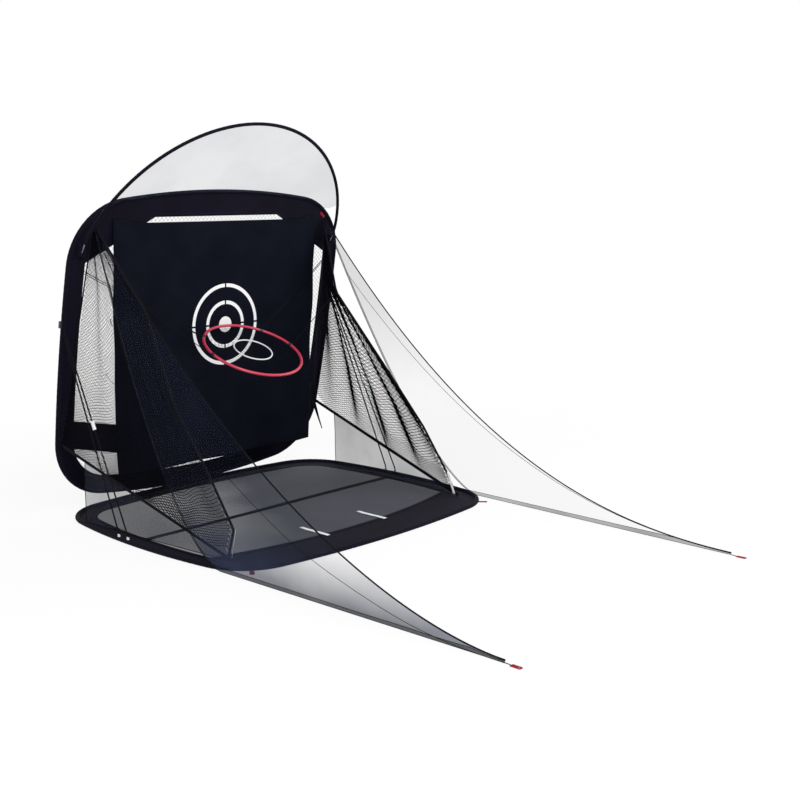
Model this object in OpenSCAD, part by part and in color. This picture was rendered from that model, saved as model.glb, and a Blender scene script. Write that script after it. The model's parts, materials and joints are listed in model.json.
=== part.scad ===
// Pop-up golf chipping net: a ground frame and a leaning upright frame, each a sprung rod in a fabric
// sleeve, with a target sheet, a roof hoop, side nets, long wing nets and a chipping ring on cords.
// Millimetres. +Z up, +Y towards the back of the net, +X to the golfer's right.
// The origin is on the floor, under the middle of the whole net with its wings spread.

/* [Ground frame] */
// Width over the sleeves
ground_w = 2534; // [2300:1:2800]
// Depth over the sleeves
ground_d = 2130; // [1900:1:2400]
// Radius of the outer corners
ground_r = 386; // [300:1:450]
// How far the two sides bow outwards
ground_side_bow = 47; // [30:1:60]
// How far the front and rear edges bow outwards
ground_end_bow = 57; // [40:1:70]
// Width of the fabric band along the sides and the rear
ground_band = 150; // [100:1:200]
// Width of the front lip at its middle
lip_w = 360; // [220:1:400]

/* [Upright frame] */
// Width over the sleeves
upright_w = 2464; // [2250:1:2700]
// Length along its slope, over the sleeves
upright_h = 2245; // [2000:1:2400]
// Radius of the outer corners
upright_r = 470; // [400:1:520]
// How far the sides bow outwards
upright_side_bow = 12; // [8:1:30]
// How far the top and bottom edges bow outwards
upright_end_bow = 52; // [40:1:70]
// Forward lean from plumb
lean = 11.36; // [8:0.01:14]
// Width of the side bands
side_band_w = 140; // [100:1:170]
// Width of the top band
top_band_w = 190; // [160:1:240]
// Width of the bottom band
bottom_band_w = 120; // [90:1:150]

/* [Rods and sleeves] */
// Radius of the sprung rods
rod_r = 5; // [4:0.5:6]
// Radius of the fabric sleeves
sleeve_r = 15; // [13:0.5:17]
// Thickness of the fabric bands
fabric_t = 4; // [3:0.5:5]
// Clearance between parts that move or lie against each other
gap = 0.3; // [0.2:0.05:0.4]

/* [Nets] */
// Width of the cords that a coarse net is drawn with
mesh_w = 7; // [5:1:12]
// Thickness of a net
net_t = 2; // [1.5:0.5:3]
// Gaps across the floor net
floor_cells_x = 10; // [6:1:14]
// Gaps along the floor net
floor_cells_y = 7; // [5:1:10]
// Gaps across the back net
back_cells_x = 9; // [6:1:12]
// Gaps up the back net
back_cells_y = 8; // [6:1:12]
// Gaps along a side net
side_cells_u = 5; // [4:1:8]
// Gaps up a side net
side_cells_v = 8; // [6:1:10]

/* [Target sheet] */
// Width at the top
sheet_w = 1840; // [1500:1:1900]
// How far the sheet hangs to the right of the middle
sheet_x = 30; // [0:1:40]
// Height from the hem to the top seam
sheet_h = 1772; // [1600:1:1850]
// Thickness of the sheet
sheet_t = 3; // [2:0.5:4]
// Angle that the sheet hangs back from plumb
sheet_angle = 3.3; // [2:0.1:4]
// Length of the slit under the top seam
slit_w = 1665; // [1200:1:1720]
// Height of the slit
slit_h = 27; // [20:1:70]
// How far the folds at the hem stand out
fold_depth = 27; // [15:1:40]
// Radius of the outer printed circle
bull_outer_r = 300; // [250:1:340]
// Radius of the inner printed circle
bull_inner_r = 175; // [150:1:200]
// Radius of the printed dot
bull_dot_r = 58; // [40:1:70]
// Width of the printed circles
bull_line = 26; // [18:1:32]
// Height of the bullseye over the hem
bull_h = 992; // [900:1:1050]
// How far the bullseye stands to the right of the middle
bull_x = 62; // [0:1:80]

/* [Roof] */
// Half the width of the roof hoop at its feet
roof_half_w = 1122; // [1112:1:1130]
// Length of the roof hoop along its slope
roof_h = 996; // [850:1:1050]
// Radius of the hoop near its feet
roof_foot_r = 650; // [550:1:700]
// Lean of the hoop from plumb
roof_lean = 32.2; // [26:0.1:38]
// Place of the feet along the upright frame
roof_foot_s = 1818; // [1750:1:1850]
// Radius of the roof hoop's sleeve
roof_sleeve_r = 12; // [10:0.5:13]

/* [Chipping ring] */
// Radius of the red rim, at the middle of its tube
ring_r = 355; // [300:1:380]
// Radius of the rim's tube
rim_r = 10; // [8:0.5:12]
// Radius of the white inner ring
ring_inner_r = 139; // [110:1:170]
// Radius of the inner ring's tube
inner_tube_r = 5; // [4:0.5:6]
// Tilt of the ring, with its rear edge up
ring_tilt = 24; // [18:1:30]
// Distance from the ring's middle to the line that it swings about
ring_reach = 500; // [450:1:540]
// Place of that line along the upright frame
ring_s = 1300; // [1250:1:1350]
// Spokes in the ring's net
ring_spokes = 12; // [8:1:16]

/* [Side nets] */
// Height along the upright frame where the side strap starts
strap_s = 470; // [450:1:600]
// Width of the side strap
strap_w = 25; // [18:1:35]
// Radius of the support cords
cord_r = 5; // [2.5:0.5:6]
// Place along the upright frame of the cleats that hold the support cords
cleat_s = 1335; // [1280:1:1380]
// Distance of the front cord's anchor behind the middle of the ground frame
anchor_y = 70; // [0:1:120]

/* [Wing nets] */
// How far the wing tips lie in front of the middle of the ground frame
wing_reach = 2867; // [2500:1:3200]
// How far a wing's foot stands in from the side of the ground frame
wing_inset = 67; // [40:1:90]
// How much further in a wing's tip stands than its foot
wing_tip_in = 57; // [0:1:90]
// How steeply the left wing's edge sags
left_sag = 1.7; // [1.2:0.05:2.2]
// How steeply the right wing's edge sags
right_sag = 2.2; // [1.4:0.05:2.4]
// Radius of a wing's edge cord
edge_r = 6; // [4:0.5:8]
// Thickness of a wing net
film_t = 2; // [1.5:0.5:3]
// Length of a red peg tab
tab_l = 65; // [50:1:80]
// Width of a red peg tab
tab_w = 30; // [24:1:40]
// Thickness of a red peg tab
tab_t = 4; // [3:0.5:5]
// Radius of the peg hole in a tab
peg_hole_r = 6; // [4:0.5:8]

/* [Hidden] */

// Finishes
cloth_black = [0.10, 0.10, 0.15];
strap_black = [0.06, 0.06, 0.08];
net_grey = [0.30, 0.32, 0.36];
film_grey = [0.78, 0.80, 0.84];
tab_red = [0.70, 0.08, 0.14];
print_white = [0.92, 0.92, 0.93];
rod_grey = [0.45, 0.46, 0.48];

// Places along the depth are measured from the middle of the ground frame, and the last step shifts
// them by ground_y, which puts the origin under the middle of the whole net.
end_cord_l = 35;
wing_tip_y = -wing_reach;
tab_front = wing_reach + end_cord_l + tab_l;
ground_y = (tab_front - ground_d / 2) / 2;

// A bowed outline: two side arcs, two end arcs and four corner arcs that all meet without a kink.
function corner_x(w, r, bow) = w / 2 - bow - r;
function arc_r(bow, r, other) = (pow(bow + r, 2) + pow(other, 2) - pow(r, 2)) / (2 * bow);
function side_turn(c, w, side_r) = atan2(c[1], c[0] - w / 2 + side_r);
function end_turn(c, d, end_r) = atan2(c[1] - d / 2 + end_r, c[0]);
// A frame is [width, depth, corner radius, side bow, end bow].
function corner_of(f) = [corner_x(f[0], f[2], f[3]), corner_x(f[1], f[2], f[4])];
function side_r_of(f) = arc_r(f[3], f[2], corner_of(f)[1]);
function end_r_of(f) = arc_r(f[4], f[2], corner_of(f)[0]);
function side_turn_of(f) = side_turn(corner_of(f), f[0], side_r_of(f));
function end_turn_of(f) = end_turn(corner_of(f), f[1], end_r_of(f));
ground_f = [ground_w, ground_d, ground_r, ground_side_bow, ground_end_bow];
upright_f = [upright_w, upright_h, upright_r, upright_side_bow, upright_end_bow];

function arc_pts(x, y, r, a0, a1, n) =
    [for (i = [1:n]) [x + r * cos(a0 + (a1 - a0) * i / n), y + r * sin(a0 + (a1 - a0) * i / n)]];
function quarter(f, inset) =
    let (c = corner_of(f), sr = side_r_of(f), er = end_r_of(f), st = side_turn_of(f), et = end_turn_of(f))
    concat([[f[0] / 2 - inset, 0]],
        arc_pts(f[0] / 2 - sr, 0, sr - inset, 0, st, 2),
        arc_pts(c[0], c[1], f[2] - inset, st, et, 6),
        arc_pts(0, f[1] / 2 - er, er - inset, et, 90, 3));
function outline(f, inset) =
    let (q = quarter(f, inset), n = len(q))
    concat(q,
        [for (k = [n - 2:-1:0]) [-q[k][0], q[k][1]]],
        [for (k = [1:n - 1]) [-q[k][0], -q[k][1]]],
        [for (k = [n - 2:-1:1]) [q[k][0], -q[k][1]]]);

// One arc of a short exact tube, from angle a0 to a1
module tube_arc(r, a0, a1, outer, bore) {
    rotate([0, 0, a0])
        rotate_extrude(angle = a1 - a0, $fn = 96)
            translate([r, 0])
                difference() {
                    circle(r = outer, $fn = 24);
                    circle(r = bore, $fn = 24);
                }
}

// Triangles between neighbouring rings of m points, for n rings, joined end to end when closed
function ring_walls(n, m, closed) =
    [for (i = [0:n - (closed ? 1 : 2)]) for (k = [0:m - 1])
        let (a = i * m + k, b = i * m + (k + 1) % m, c = ((i + 1) % n) * m + k,
            d = ((i + 1) % n) * m + (k + 1) % m)
        each [[a, c, b], [b, c, d]]];

// A sleeve's section is a folded cloth: round outside, round inside, with a narrow slit underneath.
slit_turn = 3;
function on_circle(r, a) = [r * cos(a), r * sin(a)];
function sleeve_outside(r, a0, a1) =
    [for (a = [-90 + slit_turn, -60, -30, 0, 30, 60, 90, 120, 150, 180, 210, 240, 270 - slit_turn])
        if (a >= a0 && a <= a1) on_circle(r, a)];
function sleeve_inside(bore) =
    [for (a = [270 - 2 * slit_turn, 225, 180, 135, 90, 45, 0, -45, -90 + 2 * slit_turn])
        on_circle(bore, a)];

// A rod along a frame's outline
module hoop_rod(f, inset, r) {
    mid = outline(f, inset);
    inward = outline(f, inset + 1) - mid;
    n = len(mid);
    sides = 8;
    polyhedron([for (i = [0:n - 1]) for (k = [0:sides - 1]) let (q = on_circle(r, 360 * k / sides))
        [mid[i][0] + inward[i][0] * q[0], mid[i][1] + inward[i][1] * q[0], q[1]]],
        ring_walls(n, sides, true), convexity = 4);
}

// A sleeve along a frame's outline with its flat band, from height z0 to z1, out to the points of inner
module hoop_sleeve(f, inset, r, bore, inner, z0, z1) {
    mid = outline(f, inset);
    inward = outline(f, inset + 1) - mid;
    n = len(mid);
    before = concat(sleeve_outside(r, -90, asin(z0 / r) - 1), [[sqrt(r * r - z0 * z0), z0]]);
    after = concat([[sqrt(r * r - z1 * z1), z1]], sleeve_outside(r, asin(z1 / r) + 1, 270),
        sleeve_inside(bore));
    function ring(i) = concat(
        [for (q = before) [mid[i][0] + inward[i][0] * q[0], mid[i][1] + inward[i][1] * q[0], q[1]]],
        [[inner[i][0], inner[i][1], z0], [inner[i][0], inner[i][1], z1]],
        [for (q = after) [mid[i][0] + inward[i][0] * q[0], mid[i][1] + inward[i][1] * q[0], q[1]]]);
    polyhedron([for (i = [0:n - 1]) each ring(i)],
        ring_walls(n, len(ring(0)), true), convexity = 8);
}

// Where things are on the upright frame: s runs up its slope from its lower rod, off stands in front
hinge_drop = 20;
hinge_y = ground_d / 2 - sleeve_r - hinge_drop;
loop_t = 2.4;
loop_w = 28;
loop_x = 22;
loop_slack = 0.8;
loop_bore = sleeve_r + gap + loop_slack;
loop_r = loop_bore + loop_t;
hinge_z = sleeve_r + sqrt(pow(sleeve_r + loop_r + gap + loop_slack, 2) - pow(hinge_drop, 2));
upright_mid_s = upright_h / 2 - sleeve_r;
top_s = upright_h - sleeve_r;
function upright_pt(x, s, off) =
    [x, hinge_y - sin(lean) * s - cos(lean) * off, hinge_z + cos(lean) * s - sin(lean) * off];

module placed() {
    translate([0, ground_y, 0]) children();
}

module on_upright(s = 0, off = 0) {
    placed()
        translate(upright_pt(0, s, off))
            rotate([90 + lean, 0, 0]) children();
}

module both_sides() {
    children();
    mirror([1, 0, 0]) children();
}

function between(a, b, t) = a + (b - a) * t;
// A point at t along a list of points, from 0 at the first to 1 at the last
function along(list, t) =
    let (n = len(list) - 1, k = min(n - 1, floor(t * n)))
    between(list[k], list[k + 1], t * n - k);

// Whether a grid's triangles face the vector shift, seen in the middle of its first row
function faces_shift(rows, shift) =
    let (m = floor(len(rows[0]) / 2))
    cross(rows[0][m] - rows[0][m - 1], rows[1][m] - rows[0][m]) * shift > 0;

// A grid of points given as rows, thickened by the vector shift
module thick_grid(rows, shift) {
    nr = len(rows);
    nc = len(rows[0]);
    base = [for (row = rows) for (p = row) p];
    n = len(base);
    facing = faces_shift(rows, shift);
    skin = [for (i = [0:nr - 2]) for (j = [0:nc - 2]) let (a = i * nc + j)
        each [[a, a + 1, a + nc], [a + 1, a + nc + 1, a + nc]]];
    rim = concat([for (j = [0:nc - 2]) [j, j + 1]],
        [for (i = [0:nr - 2]) [i * nc + nc - 1, (i + 1) * nc + nc - 1]],
        [for (j = [nc - 2:-1:0]) [(nr - 1) * nc + j + 1, (nr - 1) * nc + j]],
        [for (i = [nr - 2:-1:0]) [(i + 1) * nc, i * nc]]);
    faces = concat(skin,
        [for (t = skin) [t[0] + n, t[2] + n, t[1] + n]],
        [for (e = rim) each [[e[0], e[0] + n, e[1]], [e[1], e[0] + n, e[1] + n]]]);
    polyhedron(concat(base, [for (p = base) p + shift]),
        facing ? faces : [for (t = faces) [t[0], t[2], t[1]]], convexity = 6);
}

// The same grid as a lattice of bars, with a gap in each cell
module lattice(rows, shift, bar) {
    nr = len(rows);
    nc = len(rows[0]);
    corners = [for (row = rows) for (p = row) p];
    facing = faces_shift(rows, shift);
    function inner(i, j, k) =
        let (q = [rows[i][j], rows[i][j + 1], rows[i + 1][j + 1], rows[i + 1][j]],
            mid = (q[0] + q[1] + q[2] + q[3]) / 4,
            cell = (norm(q[1] - q[0]) + norm(q[3] - q[0]) + norm(q[2] - q[1]) + norm(q[3] - q[2])) / 4)
        between(q[k], mid, min(0.45, bar / cell));
    holes = [for (i = [0:nr - 2]) for (j = [0:nc - 2]) for (k = [0:3]) inner(i, j, k)];
    base = concat(corners, holes);
    n = len(base);
    cells = [for (i = [0:nr - 2]) for (j = [0:nc - 2])
        [[i * nc + j, i * nc + j + 1, (i + 1) * nc + j + 1, (i + 1) * nc + j],
            nr * nc + 4 * (i * (nc - 1) + j)]];
    skin = [for (c = cells) for (k = [0:3]) let (m = (k + 1) % 4)
        each [[c[0][k], c[0][m], c[1] + k], [c[0][m], c[1] + m, c[1] + k]]];
    walls = [for (c = cells) for (k = [0:3]) let (a = c[1] + k, b = c[1] + (k + 1) % 4)
        each [[a, b, a + n], [b, b + n, a + n]]];
    rim = concat([for (j = [0:nc - 2]) [j, j + 1]],
        [for (i = [0:nr - 2]) [i * nc + nc - 1, (i + 1) * nc + nc - 1]],
        [for (j = [nc - 2:-1:0]) [(nr - 1) * nc + j + 1, (nr - 1) * nc + j]],
        [for (i = [nr - 2:-1:0]) [(i + 1) * nc, i * nc]]);
    faces = concat(skin,
        [for (t = skin) [t[0] + n, t[2] + n, t[1] + n]],
        walls,
        [for (e = rim) each [[e[0], e[0] + n, e[1]], [e[1], e[0] + n, e[1] + n]]]);
    polyhedron(concat(base, [for (p = base) p + shift]),
        facing ? faces : [for (t = faces) [t[0], t[2], t[1]]], convexity = 10);
}

// A cord of radius r along points, with sides counted round a reference direction that it never follows
module cord(pts, r, ref = [1, 0, 0], sides = 8) {
    n = len(pts);
    function run(i) = pts[min(n - 1, i + 1)] - pts[max(0, i - 1)];
    function ring(i) =
        let (t = run(i) / norm(run(i)), a = cross(t, ref) / norm(cross(t, ref)), b = cross(t, a))
        [for (k = [0:sides - 1]) pts[i] + r * (a * cos(360 * k / sides) + b * sin(360 * k / sides))];
    body = [for (i = [0:n - 1]) each ring(i)];
    walls = [for (i = [0:n - 2]) for (k = [0:sides - 1])
        let (a = i * sides + k, b = i * sides + (k + 1) % sides)
        each [[a, a + sides, b], [b, a + sides, b + sides]]];
    caps = concat([for (k = [1:sides - 2]) [0, k, k + 1]],
        [for (k = [1:sides - 2]) let (e = (n - 1) * sides) [e, e + k + 1, e + k]]);
    polyhedron(body, concat(walls, caps), convexity = 4);
}

// ---- Ground frame ----
band_z = 5;
lip_y = -(ground_d / 2 - lip_w);
lip_rise = 105;
lip_half = 900;
lip_r = (pow(lip_half, 2) + pow(lip_rise, 2)) / (2 * lip_rise);
function lip_at(x) = lip_y + lip_r - sqrt(pow(lip_r, 2) - pow(x, 2));
function floor_edge(extra) =
    [for (p = outline(ground_f, ground_band + extra)) [p[0], max(p[1], lip_at(p[0]) + extra)]];

module ground_rod() {
    color(rod_grey) placed() translate([0, 0, sleeve_r]) hoop_rod(ground_f, sleeve_r, rod_r);
}

module ground_border() {
    color(cloth_black) placed() translate([0, 0, sleeve_r])
        hoop_sleeve(ground_f, sleeve_r, sleeve_r, rod_r + gap, floor_edge(0),
            band_z - sleeve_r, band_z + fabric_t - sleeve_r);
}

net_rim = 10;
module floor_net() {
    cell_x = (ground_w - 2 * ground_band) / floor_cells_x;
    cell_y = (ground_d - ground_band - lip_w) / floor_cells_y;
    color(net_grey) placed()
        translate([0, 0, band_z])
            linear_extrude(net_t)
                intersection() {
                    polygon(floor_edge(gap));
                    union() {
                        difference() {
                            polygon(floor_edge(gap));
                            polygon(floor_edge(gap + net_rim));
                        }
                        for (i = [1:floor_cells_x - 1])
                            translate([(i - floor_cells_x / 2) * cell_x, lip_y + ground_d / 2])
                                square([mesh_w, 2 * ground_d], center = true);
                        for (j = [1:floor_cells_y - 1])
                            translate([0, lip_y + j * cell_y])
                                square([ground_w, mesh_w], center = true);
                    }
                }
}

// A webbing strap from side to side across the floor net, sewn to the side bands
floor_strap_y = 45;
floor_strap_w = 50;
web_t = 2;
band_top = band_z + fabric_t + gap;
module floor_strap() {
    color(strap_black) placed()
        translate([0, floor_strap_y, band_top + web_t / 2])
            cube([ground_w - 2 * ground_band + 60, floor_strap_w, web_t], center = true);
}

// The short white straps near the lip, each with a hook at its front end
front_strap_x = 270;
front_strap_l = 270;
front_strap_y = lip_y + front_strap_l - 45;
front_strap_w = 28;
hook_r = 9;
module front_strap(side) {
    color(print_white) placed()
        translate([side * front_strap_x, front_strap_y, band_top]) {
            translate([-front_strap_w / 2, -front_strap_l, 0]) cube([front_strap_w, front_strap_l, web_t]);
            translate([0, -front_strap_l - hook_r + 2, 0])
                linear_extrude(2 * web_t)
                    difference() {
                        circle(r = hook_r, $fn = 32);
                        circle(r = hook_r - 4, $fn = 32);
                        translate([0, -hook_r]) square([6, hook_r]);
                    }
        }
}

module front_strap_left() front_strap(-1);
module front_strap_right() front_strap(1);

// Red peg tabs on the two front corners, flat on the floor, each with a round peg hole
corner_out = 52;
// How far a tab's root tucks in under the round of the sleeve
tab_tuck = 1.8;
tab_root = ground_r - sleeve_r + sqrt(pow(sleeve_r, 2) - pow(sleeve_r - tab_t, 2)) + gap - tab_tuck;
corner_c = corner_of(ground_f);
module peg_tab_shape() {
    linear_extrude(tab_t)
        difference() {
            translate([0, -tab_w / 2]) square([tab_l, tab_w]);
            translate([tab_l - tab_w / 2, 0]) circle(r = peg_hole_r, $fn = 48);
        }
}

module corner_tabs() {
    color(tab_red) placed()
        for (side = [-1, 1])
            translate([side * corner_c[0], -corner_c[1], 0])
                rotate([0, 0, side > 0 ? -corner_out : 180 + corner_out])
                    translate([tab_root, 0, 0]) peg_tab_shape();
}

// Webbing loops, sewn to the ground frame, in which the upright frame's lower rod turns. Each loop is
// open over the angle that the upright's band sweeps.
loop_open = [181, 277];
module hinge_loops() {
    color(strap_black) placed()
        for (side = [-1, 1])
            translate([side * loop_x, hinge_y, hinge_z])
                rotate([0, 90, 0])
                    difference() {
                        cylinder(r = loop_r, h = loop_w, center = true, $fn = 64);
                        cylinder(r = loop_bore, h = loop_w + 2, center = true, $fn = 64);
                        linear_extrude(loop_w + 2, center = true)
                            polygon(concat([[0, 0]], [for (t = [0, 0.33, 0.67, 1])
                                on_circle(2 * loop_r, between(loop_open[0], loop_open[1], t))]));
                    }
}

// ---- Places that the side nets, straps and cords share ----
net_off = sleeve_r + 9;
strap_x = corner_of(upright_f)[0] + upright_r - 37;
strap_start = upright_pt(strap_x, strap_s, net_off);
strap_end = [ground_w / 2 - 207, 365 - ground_d / 2, 20];
net_foot = strap_end + [-60, 20, 170];
net_head = upright_pt(upright_w / 2 - 202, top_s - 245, 12);
// The front edge of a side net: share of its height, then how far it is drawn inwards and back
net_draw = [[0.19, -6, -19], [0.41, -28, 55], [0.71, -147, 78]];
net_edge = concat([net_foot],
    [for (d = net_draw) between(net_foot, net_head, d[0]) + [d[1], d[2], 0]], [net_head]);
net_top = upright_pt(upright_w / 2 - 174, top_s - 295, net_off);
function strap_pt(t) = between(strap_start, strap_end, t);
function side_pt(side, u, v) =
    let (rear = between(strap_start + [0, 0, strap_w + 2 * gap], net_top, v),
        front = v < 0.14 ? between(strap_end + [0, 0, strap_w + 2 * gap], net_foot, v / 0.14)
            : along(net_edge, (v - 0.14) / 0.86),
        p = between(rear, front, u))
    [side * p[0], p[1], p[2]];

module side_net(side) {
    rows = [for (j = [0:side_cells_v]) [for (i = [0:side_cells_u])
        side_pt(side, i / side_cells_u, j / side_cells_v)]];
    color(net_grey) placed() lattice(rows, [side * net_t, 0, 0], mesh_w);
}

module side_net_left() side_net(-1);
module side_net_right() side_net(1);

module side_strap(side) {
    steps = 6;
    rows = [for (h = [0, strap_w]) concat(
        [for (i = [0:steps]) let (p = strap_pt(i / steps)) [side * p[0], p[1], p[2] + h]],
        [[side * (strap_end[0] - 4), strap_end[1] - 40, band_top + h]])];
    color(strap_black) placed() thick_grid(rows, [side * fabric_t, 0, 0]);
}

module side_strap_left() side_strap(-1);
module side_strap_right() side_strap(1);

// The fine panel between the strap and the band of the ground frame
panel_rear_y = ground_d / 2 - 400;
panel_foot = [ground_w / 2 - 89, panel_rear_y, band_top + web_t + gap];
panel_front = [strap_end[0] + 2, strap_end[1] + 30, band_top + web_t + gap];
panel_steps = 8;
module lower_panel(side) {
    t0 = (strap_start[1] - panel_rear_y) / (strap_start[1] - strap_end[1]);
    t1 = (strap_start[1] - panel_front[1]) / (strap_start[1] - strap_end[1]);
    rows = [for (v = [0, 0.5, 1]) [for (i = [0:panel_steps])
        let (low = between(panel_foot, panel_front, i / panel_steps),
            high = strap_pt(between(t0, t1, i / panel_steps)) - [0, 0, gap],
            p = between(low, high, v))
        [side * p[0], p[1], p[2]]]];
    color(film_grey) placed() thick_grid(rows, [side * net_t, 0, 0]);
}

module lower_panel_left() lower_panel(-1);
module lower_panel_right() lower_panel(1);

// ---- Support cords, from a cleat on the upright down to an anchor on the ground frame ----
cleat_t = 12;
cleat_l = 46;
anchor_x = ground_w / 2 - sleeve_r;
cord_gap = 100;
anchor_w = 14;
anchor_l = 26;
anchor_h = 18;
heel_l = 12.5;
anchor_ys = [anchor_y, anchor_y + cord_gap];
function upright_side_x(s) =
    let (r = side_r_of(upright_f)) upright_w / 2 - r + sqrt(pow(r, 2) - pow(s - upright_mid_s, 2));
cleat_x = upright_side_x(cleat_s) + cleat_t / 2;
function cord_top(k) = upright_pt(cleat_x, cleat_s - 20 * k, sleeve_r + 12 - 4 * k);
function cord_foot(k) = [anchor_x, anchor_ys[k], 2 * sleeve_r + gap + anchor_h + cord_r / 2 + gap];

// A clip with a raised heel behind the cord, and a lower toe that the folded cord lies over
module cord_anchors() {
    color(print_white) placed() both_sides()
        for (y = anchor_ys)
            translate([anchor_x - anchor_w / 2, y - anchor_l / 2, 2 * sleeve_r + gap]) {
                cube([anchor_w, anchor_l, anchor_h - cord_r / 2]);
                translate([0, anchor_l - heel_l, 0]) cube([anchor_w, heel_l, anchor_h]);
            }
}

module support_cords(side) {
    color(strap_black) placed()
        for (k = [0, 1])
            cord([for (p = [cord_top(k), cord_foot(k)]) [side * p[0], p[1], p[2]]], cord_r);
}

module support_cords_left() support_cords(-1);
module support_cords_right() support_cords(1);

module cord_cleat(side) {
    color(strap_black) on_upright(cleat_s, 0)
        translate([side * cleat_x, 0, 0])
            cube([cleat_t, cleat_l, 2 * sleeve_r - 8], center = true);
}

module cord_cleat_left() cord_cleat(-1);
module cord_cleat_right() cord_cleat(1);

// A sliding adjuster on each front cord
adjuster_at = 0.48;
adjuster_l = 60;
adjuster_w = 16;
adjuster_dir = cord_foot(0) - cord_top(0);
adjuster_yaw = atan2(adjuster_dir[1], adjuster_dir[0]);
adjuster_tip = acos(adjuster_dir[2] / norm(adjuster_dir));
module cord_adjuster(side) {
    mid = between(cord_top(0), cord_foot(0), adjuster_at);
    color(print_white) placed()
        mirror([side < 0 ? 1 : 0, 0, 0])
            translate(mid)
                rotate([0, adjuster_tip, adjuster_yaw])
                    difference() {
                        cube([adjuster_w, adjuster_w, adjuster_l], center = true);
                        cylinder(r = cord_r + gap, h = adjuster_l + 2, center = true, $fn = 48);
                    }
}

module cord_adjuster_left() cord_adjuster(-1);
module cord_adjuster_right() cord_adjuster(1);

// ---- Wings ----
wing_x = ground_w / 2 - wing_inset;
// A wing is sewn on in the upper corner, this far in from the side and down from the top
head_in = 192;
head_down = 224;
wing_foot_y = -corner_c[1] - sqrt(pow(ground_r, 2) - pow(wing_x - corner_c[0], 2)) - 46;
wing_low = 2;
wing_tip_h = 12;
wing_head = upright_pt(upright_w / 2 - head_in, top_s - head_down, fabric_t / 2 + gap + edge_r);
wing_tip_x = wing_x - wing_tip_in;
// Each wing lies in one plane through its foot, its tip and its head
wing_draw = wing_tip_in / (wing_foot_y - wing_tip_y);
wing_turn = (wing_x + wing_draw * (wing_head[1] - wing_foot_y) - wing_head[0]) / (wing_head[2] - wing_low);
wing_bow = 1.55;
function wing_height(sag, u) = wing_tip_h + (wing_head[2] - wing_low - wing_tip_h) * pow(1 - u, sag);
function wing_power(u) = 1 + (wing_bow - 1) * (1 - u);
function wing_pt(side, sag, u, v) =
    let (z = wing_low + wing_height(sag, u) * pow(v, wing_power(u)),
        y = between(between(wing_foot_y, wing_tip_y, u), between(wing_head[1], wing_tip_y, u), v))
    [side * (wing_x + wing_draw * (y - wing_foot_y) - wing_turn * (z - wing_low)), y, z];
wing_steps_u = 22;
wing_steps_v = 5;

module wing_net(side, sag) {
    rows = [for (j = [0:wing_steps_v]) [for (i = [0:wing_steps_u])
        wing_pt(side, sag, i / wing_steps_u, j / wing_steps_v)]];
    color(film_grey) placed() thick_grid(rows, [side * film_t, 0, 0]);
}

module wing_net_left() wing_net(-1, left_sag);
module wing_net_right() wing_net(1, right_sag);

module wing_edge(side, sag) {
    color(strap_black) placed()
        cord([for (i = [0:wing_steps_u])
            let (u = i / wing_steps_u,
                run = wing_pt(side, sag, min(1, u + 0.01), 1) - wing_pt(side, sag, max(0, u - 0.01), 1))
            wing_pt(side, sag, u, 1) + [side * film_t / 2, 0, 0]
                + (edge_r + 2 * gap) * [0, run[2], -run[1]] / norm([run[1], run[2]])], edge_r);
}

module wing_edge_left() wing_edge(-1, left_sag);
module wing_edge_right() wing_edge(1, right_sag);

// The doubled cloth along the wing's floor edge and its rear edge, laid on the outer face
hem_w = 25;
function hem_v(sag, u) = pow(min(0.8, hem_w / wing_height(sag, u)), 1 / wing_power(u));
// A point on the flat facets of a wing net
function wing_facet(side, sag, u, v) =
    along([for (j = [0:wing_steps_v]) wing_pt(side, sag, u, j / wing_steps_v)], v);
module wing_hem(side, sag) {
    out = [side * (film_t + gap), 0, 0];
    color(cloth_black) placed() {
        thick_grid([for (v = [0, 1]) [for (i = [0:wing_steps_u])
            let (u = i / wing_steps_u) wing_facet(side, sag, u, v * hem_v(sag, u)) + out]],
            [side * web_t, 0, 0]);
        thick_grid([for (u = [0, 0.012]) [for (j = [2:14]) wing_facet(side, sag, u, j / 14) + out]],
            [side * web_t, 0, 0]);
    }
}

module wing_hem_left() wing_hem(-1, left_sag);
module wing_hem_right() wing_hem(1, right_sag);

end_cord_r = 2.5;
module wing_end_cord(side) {
    x = side * (wing_tip_x + film_t / 2);
    color(strap_black) placed()
        cord([[x, wing_tip_y - gap, end_cord_r + 1], [x, wing_tip_y - end_cord_l + gap, end_cord_r]],
            end_cord_r);
}

module wing_end_cord_left() wing_end_cord(-1);
module wing_end_cord_right() wing_end_cord(1);

module peg_tab(side) {
    color(tab_red) placed()
        translate([side * (wing_tip_x + film_t / 2), wing_tip_y - end_cord_l, 0])
            rotate([0, 0, -90]) peg_tab_shape();
}

module peg_tab_left() peg_tab(-1);
module peg_tab_right() peg_tab(1);

// ---- Upright frame ----
window_low = bottom_band_w - sleeve_r;
window_top = top_s - top_band_w;
// The window's top corners are cut across by gussets, which start this far out and fall at this slope
gusset_x = 552;
gusset_fall = 0.566;
function window_edge(extra) =
    [for (p = outline(upright_f, side_band_w + extra))
        let (top = window_top - extra - gusset_fall * max(0, abs(p[0]) - gusset_x))
        [p[0], min(max(p[1] + upright_mid_s, window_low + extra), top)]];

module upright_rod() {
    color(rod_grey) on_upright() translate([0, upright_mid_s, 0]) hoop_rod(upright_f, sleeve_r, rod_r);
}

module upright_border() {
    color(cloth_black) on_upright() translate([0, upright_mid_s, 0])
        hoop_sleeve(upright_f, sleeve_r, sleeve_r, rod_r + gap,
            [for (p = window_edge(0)) [p[0], p[1] - upright_mid_s]], -fabric_t / 2, fabric_t / 2);
}

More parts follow.
